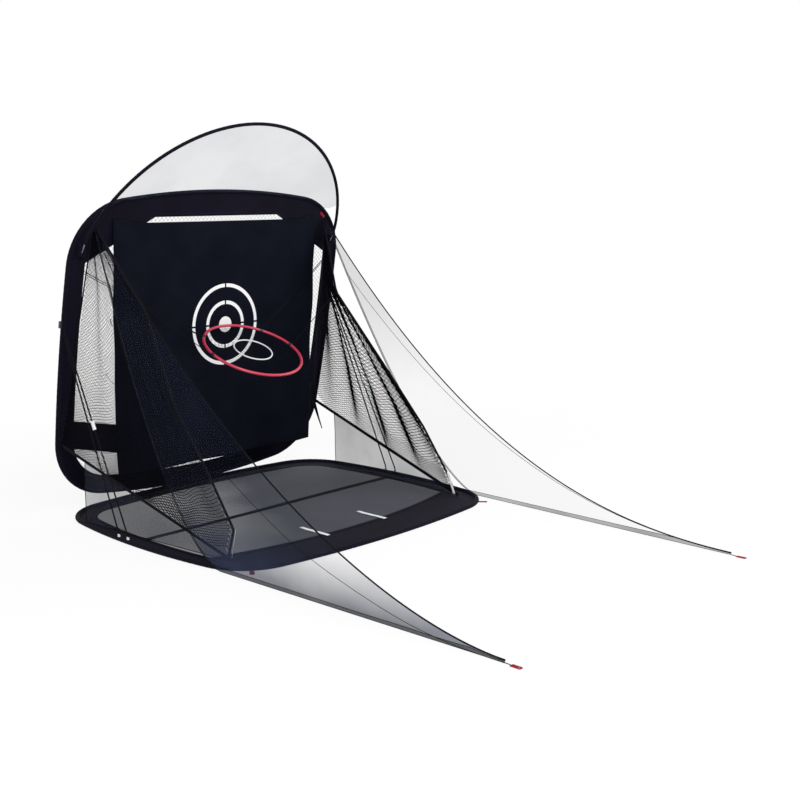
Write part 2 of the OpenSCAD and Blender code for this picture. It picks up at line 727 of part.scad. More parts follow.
back_cell_x = (upright_w - 2 * side_band_w) / back_cells_x;
module back_net() {
    cell_y = (window_top - window_low) / back_cells_y;
    color(net_grey) on_upright()
        translate([0, 0, -net_t / 2])
            linear_extrude(net_t)
                intersection() {
                    polygon(window_edge(gap));
                    union() {
                        difference() {
                            polygon(window_edge(gap));
                            polygon(window_edge(gap + net_rim));
                        }
                        for (i = [1:back_cells_x - 1])
                            translate([(i - back_cells_x / 2) * back_cell_x, upright_mid_s])
                                square([mesh_w, 2 * upright_h], center = true);
                        for (j = [1:back_cells_y - 1])
                            translate([0, window_low + j * cell_y])
                                square([upright_w, mesh_w], center = true);
                    }
                }
}

// The red pull tab in the upper right corner, beside the sleeve
pull_tab = [60, 20];
pull_turn = 50;
pull_r = upright_r - 2 * sleeve_r - pull_tab[1];
module upright_tab() {
    c = corner_of(upright_f);
    color(tab_red)
        on_upright(upright_mid_s + c[1] + pull_r * sin(pull_turn), fabric_t / 2 + gap)
            translate([c[0] + pull_r * cos(pull_turn), 0, 0])
                rotate([0, 0, pull_turn + 90])
                    linear_extrude(tab_t)
                        difference() {
                            square(pull_tab, center = true);
                            translate([pull_tab[0] / 2 - 10, 0]) circle(r = 5, $fn = 32);
                        }
}

// ---- Roof ----
roof_off = 20;
pocket_w = 44;
pocket_l = 78;
pocket_wall = 6;
foot_cap_r = rod_r + 3;
roof_feet = upright_pt(0, roof_foot_s, roof_off);
roof_top_r = (pow(roof_half_w - roof_foot_r, 2) + pow(roof_h, 2) - pow(roof_foot_r, 2))
    / (2 * (roof_h - roof_foot_r));
roof_meet = atan2(roof_top_r - roof_h, roof_half_w - roof_foot_r);
roof_steps = 9;

module on_roof() {
    placed() translate(roof_feet) rotate([90 + roof_lean, 0, 0]) children();
}

function roof_half(inset, start) = concat(
    arc_pts(roof_half_w - roof_foot_r, 0, roof_foot_r - inset, start, roof_meet, 3),
    arc_pts(0, roof_h - roof_top_r, roof_top_r - inset, roof_meet, 90, roof_steps));
// The roof hoop's middle line from its right foot to its left foot
function roof_line(inset, start) =
    let (h = concat([[roof_half_w - roof_foot_r + (roof_foot_r - inset) * cos(start),
            (roof_foot_r - inset) * sin(start)]], roof_half(inset, start)), n = len(h))
    concat(h, [for (k = [n - 2:-1:0]) [-h[k][0], h[k][1]]]);

module roof_rod() {
    color(rod_grey) on_roof() cord([for (p = roof_line(0, 0)) [p[0], p[1], 0]], rod_r, [0, 0, 1]);
}

sleeve_start = 6;
module roof_sleeve() {
    mid = roof_line(0, sleeve_start);
    inward = roof_line(1, sleeve_start) - mid;
    n = len(mid);
    section = concat(sleeve_outside(roof_sleeve_r, -90, 270), sleeve_inside(rod_r + 4 * gap));
    m = len(section);
    outer_n = 13;
    // each end is closed by a band of triangles between the outer and the inner round
    cap = [for (k = [0:outer_n - 2]) let (b = m - 1 - floor(k * 8 / 12), c = m - 1 - floor((k + 1) * 8 / 12))
        each concat([[k, k + 1, c]], b == c ? [] : [[k, c, b]])];
    color(cloth_black) on_roof()
        polyhedron([for (i = [0:n - 1]) for (q = section)
            [mid[i][0] + inward[i][0] * q[0], mid[i][1] + inward[i][1] * q[0], q[1]]],
            concat(ring_walls(n, m, false),
                cap,
                [for (t = cap) [t[0], t[2], t[1]] + (n - 1) * m * [1, 1, 1]]), convexity = 8);
}

// Round caps on the feet of the roof rod, which turn in the pockets
module roof_end_caps() {
    color(strap_black) on_roof()
        both_sides()
            translate([roof_half_w, -foot_cap_r - gap, 0]) sphere(r = foot_cap_r, $fn = 48);
}

// A pocket on the side band, open at its top and front, that holds a foot of the roof rod
module roof_pocket(side) {
    deep = roof_off + foot_cap_r + 4;
    color(strap_black) on_upright(roof_foot_s, 0)
        translate([side * roof_half_w, 0, fabric_t / 2 + gap])
            difference() {
                translate([-pocket_w / 2, -foot_cap_r * 2 - pocket_wall - 2, 0])
                    cube([pocket_w, pocket_l, deep]);
                translate([-foot_cap_r - gap, -foot_cap_r * 2 - 2, pocket_wall])
                    cube([2 * (foot_cap_r + gap), pocket_l + 40, deep + 20]);
            }
}

module roof_pocket_left() roof_pocket(-1);
module roof_pocket_right() roof_pocket(1);

// The roof net runs from the hoop's inner side down and back to the upper edge of the upright frame
function hoop_pt(k) =
    let (a = between(roof_meet, 90, k / roof_steps), r = roof_top_r - roof_sleeve_r - 4 * gap)
    [r * cos(a), roof_h - roof_top_r + r * sin(a)];
function on_roof_pt(p) = roof_feet + [p[0], -sin(roof_lean) * p[1], cos(roof_lean) * p[1]];
// The upper edge of the upright frame at x, in front of its sleeve
function upright_edge_s(x) =
    let (c = corner_of(upright_f), er = end_r_of(upright_f), r = upright_r - sleeve_r)
    upright_mid_s + (abs(x) > c[0] + r * cos(end_turn_of(upright_f))
        ? c[1] + sqrt(max(0, pow(r, 2) - pow(abs(x) - c[0], 2)))
        : upright_h / 2 - er + sqrt(pow(er - sleeve_r, 2) - pow(x, 2)));
module roof_net() {
    rows = [for (v = [0:0.25:1]) [for (i = [1 - roof_steps:roof_steps - 1])
        let (m = hoop_pt(roof_steps - abs(i)),
            q = [-sign(i) * m[0], m[1]],
            top = on_roof_pt(q),
            x = q[0] * 0.97,
            low = upright_pt(x, upright_edge_s(x), sleeve_r + gap + net_t),
            p = between(low, top, v))
        p - [0, 0, 60 * v * (1 - v)]]];
    color(film_grey) placed() thick_grid(rows, [0, net_t * 0.6, net_t * 0.8]);
}

// ---- Side bands and ties ----
band_s0 = 440;
band_s1 = 640;
band_tail = [1262, 235, 66];
module side_band(side, tail) {
    inner_x = sheet_w / 2 + side * sheet_x - 25;
    outer_x = strap_x - 20;
    rows = [for (v = [0:0.25:1]) concat(
        [for (i = [0:6])
            let (s = between(band_s0, band_s1, v),
                off = between(sheet_off(s) - 16, fabric_t / 2 + gap, min(1, i / 5)))
            upright_pt(side * between(inner_x, outer_x, i / 6), s, off)],
        tail ? [for (i = [0:3]) let (t = i / 3,
            s = between(between(band_s0 - 30, band_s1 - 160, v), band_tail[1] + 14 * v, t))
            upright_pt(between(strap_x + 10, band_tail[0], t), s,
                between(sleeve_r + 2, band_tail[2], t) + 16 * sin(180 * v) * t)] : [])];
    color(cloth_black) placed() thick_grid(rows, [0, -fabric_t / 2, 0]);
}

module side_band_left() side_band(-1, false);
module side_band_right() side_band(1, true);

// Short ties between the sheet's side edges and the outer bars of the back net
tie_s = [930, 1320];
tie_r = 3;
// The end of each tie lies flat over the net's outer bar
tie_lap = 8;
module sheet_ties() {
    color(strap_black) placed()
        for (side = [-1, 1]) for (s = tie_s)
            cord(concat([upright_pt(sheet_x + side * (sheet_w / 2 + 4), s, sheet_off(s) - 17)],
                [for (lap = [tie_lap, -tie_lap / 2])
                    upright_pt(side * ((back_cells_x / 2 - 1) * back_cell_x + lap), s + 20, net_t / 2 + gap + tie_r)]),
                tie_r, [0, 0, 1]);
}

// ---- Target sheet, which hangs from the top band ----
sheet_pivot_s = window_top - 8;
sheet_pivot_off = fabric_t / 2 + gap + 6;
sheet_pivot = upright_pt(0, sheet_pivot_s, sheet_pivot_off);
// How far the sheet stands in front of the upright frame at a place s along it
function sheet_off(s) = sheet_pivot_off + (sheet_pivot_s - s) * tan(lean - sheet_angle);
module on_sheet() {
    placed() translate(sheet_pivot) rotate([90 + sheet_angle, 0, 0]) children();
}

sheet_nu = 22;
sheet_nv = 14;
function slit_drop(x) = slit_h * min(1, max(0, (slit_w / 2 - abs(x)) / 70));
smooth_from = (bull_h - bull_outer_r - 30) / sheet_h;
function fold(u, v) =
    fold_depth * pow(max(0, 1 - v / smooth_from), 1.3) * (1 + sin(540 * u + 50) * (0.6 + 0.4 * cos(500 * v))) / 2;
// The ties draw the side edges back
edge_back = 19;
edge_share = 0.1;
function edge_draw(u, v) = edge_back * sin(180 * v) * max(0, abs(u) - 1 + edge_share) / edge_share;
module target_sheet() {
    rows = [for (j = [0:sheet_nv]) let (v = j / sheet_nv) [for (i = [0:sheet_nu])
        let (u = 2 * i / sheet_nu - 1,
            x = u * sheet_w / 2 * (1 - 0.014 * (1 - v) * (1 + cos(900 * v)) / 2 - 0.01 * (1 - v)))
        [sheet_x + x, -sheet_h * (1 - v) - (v > 0.9 ? slit_drop(x) * (v - 0.9) * 10 : 0),
            fold(u, v) - edge_draw(u, v)]]];
    color(cloth_black) on_sheet() thick_grid(rows, [0, 0, sheet_t]);
}

bull_t = 0.6;
bull_gap = 14;
module bull_circle(r) {
    linear_extrude(bull_t)
        difference() {
            circle(r = r + bull_line / 2, $fn = 96);
            circle(r = r - bull_line / 2, $fn = 96);
            square([bull_gap, 4 * r], center = true);
            square([4 * r, bull_gap], center = true);
        }
}

module target_print() {
    color(print_white) on_sheet()
        translate([bull_x, bull_h - sheet_h, sheet_t + gap]) {
            bull_circle(bull_outer_r - bull_line / 2);
            bull_circle(bull_inner_r - bull_line / 2);
            linear_extrude(bull_t) circle(r = bull_dot_r, $fn = 64);
        }
}

// ---- Chipping ring ----
ring_off = 34;
ring_line = upright_pt(0, ring_s, ring_off);
ring_mid = ring_line - ring_reach * [0, cos(ring_tilt), sin(ring_tilt)];
module on_ring() {
    placed() translate(ring_mid) rotate([ring_tilt, 0, 0]) children();
}

function ring_pt(a, r, z = 0) = ring_mid + [r * cos(a), r * sin(a) * cos(ring_tilt) - z * sin(ring_tilt),
    r * sin(a) * sin(ring_tilt) + z * cos(ring_tilt)];

module ring_rim() {
    color(tab_red) on_ring() rotate_extrude($fn = 96) translate([ring_r, 0]) circle(r = rim_r, $fn = 24);
}

module ring_inner() {
    color(print_white) on_ring()
        rotate_extrude($fn = 96) translate([ring_inner_r, 0]) circle(r = inner_tube_r, $fn = 24);
}

ring_net_drop = inner_tube_r + gap;
ring_net_r = ring_r - sqrt(pow(rim_r, 2) - pow(ring_net_drop, 2)) - gap;
ring_cord_w = 5;
module ring_net() {
    color(net_grey) on_ring()
        translate([0, 0, -ring_net_drop - net_t])
            linear_extrude(net_t)
                difference() {
                    ring_mesh();
                    for (a = clip_angles)
                        rotate([0, 0, a])
                            translate([ring_r, 0])
                                square([2 * clip_out, 2 * ring_r * sin(clip_turn / 2) + 2], center = true);
                }
}

module ring_mesh() {
    hub_r = ring_cord_w * 4;
    for (r = [hub_r, ring_inner_r, (ring_inner_r + ring_net_r) / 2, ring_net_r])
        difference() {
            circle(r = r, $fn = 64);
            circle(r = r - ring_cord_w, $fn = 64);
        }
    for (k = [0:ring_spokes - 1])
        rotate([0, 0, 360 * k / ring_spokes])
            translate([hub_r - 1, -ring_cord_w / 2])
                square([ring_net_r - hub_r, ring_cord_w]);
}

// Clips on the rim that take the hanging cords
clip_t = 3;
clip_turn = 4;
rear_clip = 41.5;
clip_angles = [0, 180, rear_clip, 180 - rear_clip];
module ring_clips() {
    color(strap_black) on_ring()
        for (a = clip_angles)
            tube_arc(ring_r, a - clip_turn / 2, a + clip_turn / 2, rim_r + gap + clip_t, rim_r + gap);
}

ring_cord_r = 2.5;
clip_out = rim_r + gap + clip_t + 1.6;
module ring_cords(side) {
    p = ring_pt(side > 0 ? 0 : 180, ring_r + clip_out);
    q = net_edge[3];
    color(strap_black) placed()
        cord([p, [side * (q[0] - 8), q[1] - 2, q[2] - 4]], ring_cord_r, [0, 0, 1]);
}

module ring_cords_left() ring_cords(-1);
module ring_cords_right() ring_cords(1);

rear_anchor_s = 1690;
rear_anchor_x = 1118;
module ring_cords_rear() {
    color(strap_black) placed()
        for (side = [-1, 1]) for (k = [0, 1])
            let (a = rear_clip + (k - 0.5) * 1.6,
                p = ring_pt(a, ring_r + clip_out),
                q = upright_pt(rear_anchor_x, rear_anchor_s + 16 * k, fabric_t / 2 + gap + ring_cord_r))
            cord([[side * p[0], p[1], p[2]], [side * q[0], q[1], q[2]]], ring_cord_r, [0, 0, 1]);
}

ground_rod();
ground_border();
floor_net();
floor_strap();
front_strap_left();
front_strap_right();
corner_tabs();
hinge_loops();
cord_anchors();
side_net_left();
side_net_right();
side_strap_left();
side_strap_right();
lower_panel_left();
lower_panel_right();
support_cords_left();
support_cords_right();
cord_adjuster_left();
cord_adjuster_right();
wing_net_left();
wing_net_right();
wing_edge_left();
wing_edge_right();
wing_hem_left();
wing_hem_right();
wing_end_cord_left();
wing_end_cord_right();
peg_tab_left();
peg_tab_right();
upright_rod();
upright_border();
back_net();
upright_tab();
roof_pocket_left();
roof_pocket_right();
cord_cleat_left();
cord_cleat_right();
side_band_left();
side_band_right();
sheet_ties();
target_sheet();
target_print();
roof_rod();
roof_sleeve();
roof_end_caps();
roof_net();
ring_rim();
ring_inner();
ring_net();
ring_clips();
ring_cords_left();
ring_cords_right();
ring_cords_rear();
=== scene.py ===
import json
import math

import bpy
import numpy as np
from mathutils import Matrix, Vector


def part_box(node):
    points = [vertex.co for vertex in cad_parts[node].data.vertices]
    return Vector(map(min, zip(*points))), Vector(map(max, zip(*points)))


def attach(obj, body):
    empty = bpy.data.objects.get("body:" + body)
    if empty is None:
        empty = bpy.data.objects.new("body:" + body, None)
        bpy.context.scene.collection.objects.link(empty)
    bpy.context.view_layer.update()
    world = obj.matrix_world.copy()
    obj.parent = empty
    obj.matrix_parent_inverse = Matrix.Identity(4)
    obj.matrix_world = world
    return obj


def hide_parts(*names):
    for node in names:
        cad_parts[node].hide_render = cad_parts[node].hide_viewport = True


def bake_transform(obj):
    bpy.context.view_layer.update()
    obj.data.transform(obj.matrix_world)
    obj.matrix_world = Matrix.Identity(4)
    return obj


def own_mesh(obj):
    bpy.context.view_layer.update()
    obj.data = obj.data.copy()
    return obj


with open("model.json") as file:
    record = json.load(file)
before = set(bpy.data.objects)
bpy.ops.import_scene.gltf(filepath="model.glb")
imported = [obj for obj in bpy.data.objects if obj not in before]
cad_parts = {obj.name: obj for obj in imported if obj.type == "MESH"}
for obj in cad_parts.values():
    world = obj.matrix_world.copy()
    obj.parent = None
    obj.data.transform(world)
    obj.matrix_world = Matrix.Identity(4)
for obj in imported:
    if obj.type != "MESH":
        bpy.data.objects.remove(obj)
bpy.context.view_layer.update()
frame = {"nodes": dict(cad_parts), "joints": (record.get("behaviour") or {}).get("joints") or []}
nodes = frame["nodes"]
joints = {joint["name"]: joint for joint in frame["joints"]}
print("frame loaded")

# ---- camera ----

cameraSettings = dict(place=(-5.3963, -5.1429, 2.2373), turn=47.41, tip=10.21, lens=52.94, sensor=36)


def newObject(name, data):
    obj = bpy.data.objects.new(name, data)
    bpy.context.scene.collection.objects.link(obj)
    return obj


def makeCamera(s):
    data = bpy.data.cameras.new("camera")
    data.lens, data.sensor_width = s["lens"], s["sensor"]
    camera = newObject("camera", data)
    camera.location = s["place"]
    camera.rotation_euler = (math.radians(90 - s["tip"]), 0, -math.radians(s["turn"]))
    bpy.context.scene.camera = camera


makeCamera(cameraSettings)

# ---- shapes that several pieces share ----

words = {-1: "Left", 1: "Right"}


def joined(x, y, z):
    # points from separate x, y and z
    return np.stack(np.broadcast_arrays(x, y, z), axis=-1)


def raised(flat, z):
    # flat points lifted to the heights z
    return joined(flat[..., 0], flat[..., 1], z)


def direction(turn):
    return np.array([math.cos(turn), math.sin(turn)])


def buildMesh(name, points, faces, material, uvs=None):
    mesh = bpy.data.meshes.new(name)
    mesh.from_pydata([tuple(p) for p in points], [], [tuple(f) for f in faces])
    mesh.update()
    if uvs is not None:
        layer = mesh.uv_layers.new(name="cloth")
        order = np.zeros(len(mesh.loops), int)
        mesh.loops.foreach_get("vertex_index", order)
        layer.data.foreach_set("uv", np.asarray(uvs, float)[order].ravel())
    for face in mesh.polygons:
        face.use_smooth = True
    mesh.materials.append(material)
    return newObject(name, mesh)


def gridFaces(rows, cols, closeRows=False, closeCols=False, start=0):
    faces = []
    for i in range(rows if closeRows else rows - 1):
        for j in range(cols if closeCols else cols - 1):
            a, b = i * cols + j, i * cols + (j + 1) % cols
            c, d = ((i + 1) % rows) * cols + (j + 1) % cols, ((i + 1) % rows) * cols + j
            faces.append((start + a, start + b, start + c, start + d))
    return faces


def lengthsAlong(points, axis=0):
    # how far each point lies along its line
    steps = np.linalg.norm(np.diff(points, axis=axis), axis=-1)
    zeros = np.zeros_like(np.take(steps, [0], axis=axis))
    return np.concatenate([zeros, np.cumsum(steps, axis=axis)], axis=axis)


def clothUvs(points):
    return np.stack([lengthsAlong(points, 1), lengthsAlong(points)], axis=2).reshape(-1, 2)


def clothGrid(name, points, material, closed=False):
    points = np.asarray(points, float)
    faces = gridFaces(*points.shape[:2], closed, closed)
    return buildMesh(name, points.reshape(-1, 3), faces, material, clothUvs(points))


def gridNormals(points):
    normal = np.cross(np.gradient(points, axis=1), np.gradient(points, axis=0))
    return normal / np.maximum(np.linalg.norm(normal, axis=2, keepdims=True), 1e-12)


def clothArea(points):
    across, up = np.diff(points, axis=1)[:-1], np.diff(points, axis=0)[:, :-1]
    return float(np.linalg.norm(np.cross(across, up), axis=2).sum())


def thickCloth(name, points, thickness, material):
    rows, cols = points.shape[:2]
    lift = gridNormals(points) * thickness / 2
    both = np.concatenate([(points + lift).reshape(-1, 3), (points - lift).reshape(-1, 3)])
    n = rows * cols
    faces = gridFaces(rows, cols) + [face[::-1] for face in gridFaces(rows, cols, start=n)]
    order = np.arange(n).reshape(rows, cols)
    rim = np.concatenate([order[::-1, 0], order[0, 1:], order[1:, -1], order[-1, -2:0:-1]]).tolist()
    faces += [(a, a + n, b + n, b) for a, b in zip(rim, rim[1:] + rim[:1])]
    return buildMesh(name, both, faces, material, np.tile(clothUvs(points), (2, 1)))


def settle(pieces, body, slot, *stoodFor):
    # the pieces ride on one body, and the nodes they take the place of are hidden
    if stoodFor:
        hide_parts(*stoodFor)
    for piece in pieces:
        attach(piece, body)
    return pieces


def ringFrames(points):
    # two directions across the line at each point, turning as little as possible
    run = np.gradient(points, axis=0)
    run /= np.maximum(np.linalg.norm(run, axis=1, keepdims=True), 1e-12)
    side = np.cross(run[0], (0, 0, 1) if abs(run[0][2]) < 0.9 else (1, 0, 0))
    sides = []
    for ahead in run:
        side = side - ahead * side.dot(ahead)
        side /= np.linalg.norm(side)
        sides.append(side)
    return np.array(sides), np.cross(run, sides)


def tubeParts(points, radius, sides, start):
    a, b = ringFrames(points)
    radius = np.broadcast_to(radius, len(points))[:, None, None]
    turn = (np.arange(sides) * 2 * math.pi / sides)[None, :, None]
    ring = points[:, None] + radius * (a[:, None] * np.cos(turn) + b[:, None] * np.sin(turn))
    faces = gridFaces(len(points), sides, closeCols=True, start=start)
    faces.append(tuple(start + k for k in range(sides))[::-1])
    faces.append(tuple(start + (len(points) - 1) * sides + k for k in range(sides)))
    return ring.reshape(-1, 3), faces


def tubes(name, lines, radius, material, sides=8):
    points, faces, count = [], [], 0
    for k, line in enumerate(lines):
        p, f = tubeParts(line, radius[k] if isinstance(radius, list) else radius, sides, count)
        points.append(p)
        faces += f
        count += len(p)
    return buildMesh(name, np.concatenate(points), faces, material)


def tautCord(name, points, radius):
    # a cord that is held at both ends
    obj = tubes(name, [points], radius, blackCord)
    tuple(points[0])
    float(lengthsAlong(points)[-1])
    [tuple(p) for p in points]
    return obj


def between(a, b, share):
    # points at the given shares of the way from a to b
    return a + np.asarray(share)[..., None] * np.subtract(b, a)


def straight(a, b, steps):
    return between(a, b, np.linspace(0, 1, steps))


def apart(a, b):
    return float(np.linalg.norm(b - a))


def unitGrid(cols, rows):
    return np.meshgrid(np.linspace(0, 1, cols), np.linspace(0, 1, rows))


def ribbonLine(name, points, across, width, thickness, material):
    # a flat strap along points, its width along across
    across = np.broadcast_to(np.asarray(across, float), points.shape)
    across = across / np.linalg.norm(across, axis=1, keepdims=True)
    spread = np.linspace(-0.5, 0.5, 5)[None, :, None]
    return thickCloth(name, points[:, None] + across[:, None] * spread * width, thickness, material)


def waves(u, v, seed):
    # a smooth wrinkle pattern between about -1 and 1
    total = np.zeros(np.broadcast(u, v).shape)
    for k in range(5):
        a = 12.9898 * (seed + k * 1.7)
        total = total + np.sin((1 + k) * (u * math.cos(a) + v * math.sin(a)) + 7.3 * (seed + k)) / (1 + 0.6 * k)
    return total / 2.2


def arch(t, power=1):
    # 0 at both ends and 1 in the middle
    return np.sin(math.pi * np.clip(t, 0, 1)) ** power


def puckers(far, fine, slow):
    # how far a sleeve draws in along its seam
    return 0.05 * (0.5 + 0.5 * np.sin(far * fine + 2 * np.sin(far * slow)))


def smoothStep(t):
    t = np.clip(t, 0, 1)
    return t * t * (3 - 2 * t)


def cornerCentre(shape):
    return np.array([shape["width"] / 2 - shape["sideBow"] - shape["radius"],
                     shape["depth"] / 2 - shape["endBow"] - shape["radius"]])


def archRadius(bow, corner, half):
    # the radius of a side that bows out between its corners
    return ((bow + corner) ** 2 + half ** 2 - corner ** 2) / (2 * bow)


def bowedLoop(shape, count):
    # even points round the middle of a frame's sleeve, their outward directions, and how far round they lie
    w, d, r = shape["width"] / 2, shape["depth"] / 2, shape["radius"]
    cx, cy = cornerCentre(shape)
    sideR, endR = archRadius(shape["sideBow"], r, cy), archRadius(shape["endBow"], r, cx)
    sideTurn, endTurn = math.atan2(cy, cx - w + sideR), math.atan2(cy - d + endR, cx)
    quarter = []
    for x, y, radius, a0, a1 in ((w - sideR, 0, sideR, 0, sideTurn), (cx, cy, r, sideTurn, endTurn),
                                 (0, d - endR, endR, endTurn, math.pi / 2)):
        a = np.linspace(a0, a1, 60)[:-1]
        inner = radius - shape["sleeve"]
        quarter.append(joined(x + inner * np.cos(a), y + inner * np.sin(a), a))
    quarter = np.concatenate(quarter)
    back, half, whole = quarter[::-1], [0, 0, math.pi], [0, 0, 2 * math.pi]
    dense = np.concatenate([quarter, back * [-1, 1, -1] + half, quarter * [-1, -1, 1] + half,
                            back * [1, -1, -1] + whole, quarter[:1] + whole])
    far = lengthsAlong(dense[:, :2])
    at = np.linspace(0, far[-1], count, endpoint=False)
    x, y, a = (np.interp(at, far, column) for column in dense.T)
    return np.stack([x, y], axis=1), np.stack([np.cos(a), np.sin(a)], axis=1), at


# ---- finishes ----


def newMaterial(name):
    material = bpy.data.materials.new(name)
    material.use_nodes = True
    tree = material.node_tree
    return material, tree, tree.nodes["Principled BSDF"]


def setValues(node, values):
    # each value goes to the node's input of that name, or to its setting
    for key, value in values.items():
        if key in node.inputs:
            node.inputs[key].default_value = value
        else:
            setattr(node, key, value)
    return node


def addNode(tree, kind, **values):
    return setValues(tree.nodes.new(kind), values)


def link(output, socket):
    output.id_data.links.new(output, socket)


def mathNode(tree, operation, *values):
    node = addNode(tree, "ShaderNodeMath", operation=operation)
    for socket, value in zip(node.inputs, values):
        if isinstance(value, float):
            socket.default_value = value
        else:
            link(value, socket)
    return node.outputs["Value"]


def placeNode(tree, source="Object", scale=(1, 1, 1)):
    coords = addNode(tree, "ShaderNodeTexCoord")
    mapping = addNode(tree, "ShaderNodeMapping", Scale=scale)
    link(coords.outputs[source], mapping.inputs["Vector"])
    return mapping.outputs["Vector"]


def rampNode(tree, value, dark, light, span):
    ramp = addNode(tree, "ShaderNodeValToRGB")
    for element, position, colour in zip(ramp.color_ramp.elements, span, (dark, light)):
        element.position, element.color = position, (*colour, 1)
    link(value, ramp.inputs["Fac"])
    return ramp.outputs["Color"]


def bumpInto(tree, shader, height, strength, distance):
    bump = addNode(tree, "ShaderNodeBump", Strength=strength, Distance=distance)
    link(height, bump.inputs["Height"])
    link(bump.outputs["Normal"], shader.inputs["Normal"])


def noise(scale, detail, roughness):
    return dict(kind="ShaderNodeTexNoise", Scale=scale, Detail=detail, Roughness=roughness)


def bands(scale, distortion, way):
    return dict(kind="ShaderNodeTexWave", Scale=scale, Distortion=distortion, bands_direction=way)


def grained(name, dark, light, texture, looks, bump=None, span=(0.3, 0.7), source="Object", scale=(1, 1, 1)):
    # one texture colours the finish, dark to light over the span, and raises it
    material, tree, shader = newMaterial(name)
    grain = addNode(tree, **texture)
    link(placeNode(tree, source, scale), grain.inputs["Vector"])
    link(rampNode(tree, grain.outputs["Fac"], dark, light, span), shader.inputs["Base Color"])
    if bump:
        bumpInto(tree, shader, grain.outputs["Fac"], *bump)
    setValues(shader, looks)
    return material, tree, shader, grain


def wovenCloth(name, dark, light, roughness=0.78, sheen=0.02):
    # polyester cloth: fine crossed threads, faint cloudiness in the dye
    looks = {"Roughness": roughness, "Sheen Weight": sheen, "Specular IOR Level": 0.06}
    material, tree, shader, _ = grained(name, dark, light, noise(3.2, 4.0, 0.55), looks)
    place = placeNode(tree, "UV")
    threads = [addNode(tree, **bands(900.0, 0.6, way)) for way in "XY"]
    for thread in threads:
        link(place, thread.inputs["Vector"])
    both = mathNode(tree, "MULTIPLY", *(thread.outputs["Fac"] for thread in threads))
    bumpInto(tree, shader, both, 0.25, 0.0006)
    return material


def webbing(name, dark, light):
    # strap webbing with ribs across it
    return grained(name, dark, light, bands(520.0, 0.4, "Y"), {"Roughness": 0.85, "Specular IOR Level": 0.08},
                   (0.5, 0.0008), (0.1, 0.9), "UV")[0]


def twistedCord(name, dark, light):
    # slanted strands
    return grained(name, dark, light, bands(260.0, 0.8, "DIAGONAL"), {"Roughness": 0.9, "Specular IOR Level": 0.05},
                   (0.5, 0.0008), (0.2, 0.8))[0]


def fineNet(name, dark, light, thin, thick, cell=0.006, cloudScale=2.0, slope=None, span=(0.3, 0.7)):
    # very fine mesh, drawn as a see-through cloth that is denser where it bunches
    material, tree, shader, cloud = grained(name, dark, light, noise(cloudScale, 3.0, 0.5),
                                            {"Roughness": 0.75, "Specular IOR Level": 0.2})
    level = cloud.outputs["Fac"]
    if slope:
        # denser along one direction, with a little of the cloud; on the floor net this gradient is painted shade
        along = addNode(tree, "ShaderNodeVectorMath", operation="DOT_PRODUCT")
        link(placeNode(tree), along.inputs[0])
        along.inputs[1].default_value = slope
        level = mathNode(tree, "MULTIPLY_ADD", level, 0.5, along.outputs["Value"])
    density = addNode(tree, "ShaderNodeMapRange",
                      **{"From Min": span[0], "From Max": span[1], "To Min": thin, "To Max": thick})
    link(level, density.inputs["Value"])
    link(density.outputs["Result"], shader.inputs["Alpha"])
    mesh = addNode(tree, "ShaderNodeTexVoronoi", Scale=1 / cell, feature="DISTANCE_TO_EDGE")
    link(placeNode(tree, "UV"), mesh.inputs["Vector"])
    bumpInto(tree, shader, mesh.outputs["Distance"], 0.2, 0.0006)
    return material


def mouldedPlastic(name, dark, light, roughness, grain=160.0, coat=0.0):
    return grained(name, dark, light, noise(grain, 5.0, 0.6), {"Roughness": roughness, "Coat Weight": coat},
                   (0.15, 0.0004))[0]


borderCloth = wovenCloth("borderCloth", (0.0030, 0.0024, 0.0072), (0.0052, 0.0042, 0.0112))
sheetCloth = wovenCloth("sheetCloth", (0.0020, 0.0026, 0.0068), (0.0042, 0.0052, 0.0110), roughness=0.85, sheen=0.0)
printInk = mouldedPlastic("printInk", (0.76, 0.76, 0.78), (0.86, 0.86, 0.88), 0.6, grain=420.0)
blackWebbing = webbing("blackWebbing", (0.003, 0.003, 0.005), (0.008, 0.008, 0.012))
whiteWebbing = webbing("whiteWebbing", (0.72, 0.73, 0.75), (0.88, 0.88, 0.90))
redWebbing = webbing("redWebbing", (0.22, 0.010, 0.022), (0.36, 0.018, 0.036))
netCord = twistedCord("netCord", (0.0010, 0.0012, 0.0028), (0.0030, 0.0036, 0.0070))
blackCord = twistedCord("blackCord", (0.003, 0.003, 0.005), (0.010, 0.010, 0.014))
wingFilms = {-1: fineNet("wingFilmLeft", (0.012, 0.016, 0.040), (0.022, 0.030, 0.068), 0.10, 0.78, slope=(0, 0, -3),
                         span=(-0.74, 0.16)),
             1: fineNet("wingFilmRight", (0.022, 0.030, 0.066), (0.036, 0.048, 0.100), 0.07, 0.28, slope=(0, 0, 1),
                        span=(0.9, 1.7))}
roofFilm = fineNet("roofFilm", (0.045, 0.065, 0.130), (0.065, 0.090, 0.170), 0.20, 0.31)
panelFilm = fineNet("panelFilm", (0.010, 0.012, 0.022), (0.020, 0.024, 0.040), 0.46, 0.62)
# the floor net's film grows denser and darker towards the right and the front: painted shade that the sheet and side
# nets cast on it
floorFilmWithPaintedShade = fineNet("floorFilmWithPaintedShade", (0.022, 0.025, 0.036), (0.036, 0.040, 0.056), 0.74, 0.965, cell=0.004,
                    cloudScale=1.4, slope=(0.571, -0.286, 0), span=(-0.49, -0.09))
redPlastic = mouldedPlastic("redPlastic", (0.46, 0.022, 0.060), (0.56, 0.030, 0.075), 0.35, coat=0.2)
whitePlastic = mouldedPlastic("whitePlastic", (0.66, 0.67, 0.69), (0.78, 0.78, 0.80), 0.4)
blackPlastic = mouldedPlastic("blackPlastic", (0.010, 0.010, 0.013), (0.020, 0.020, 0.025), 0.45)
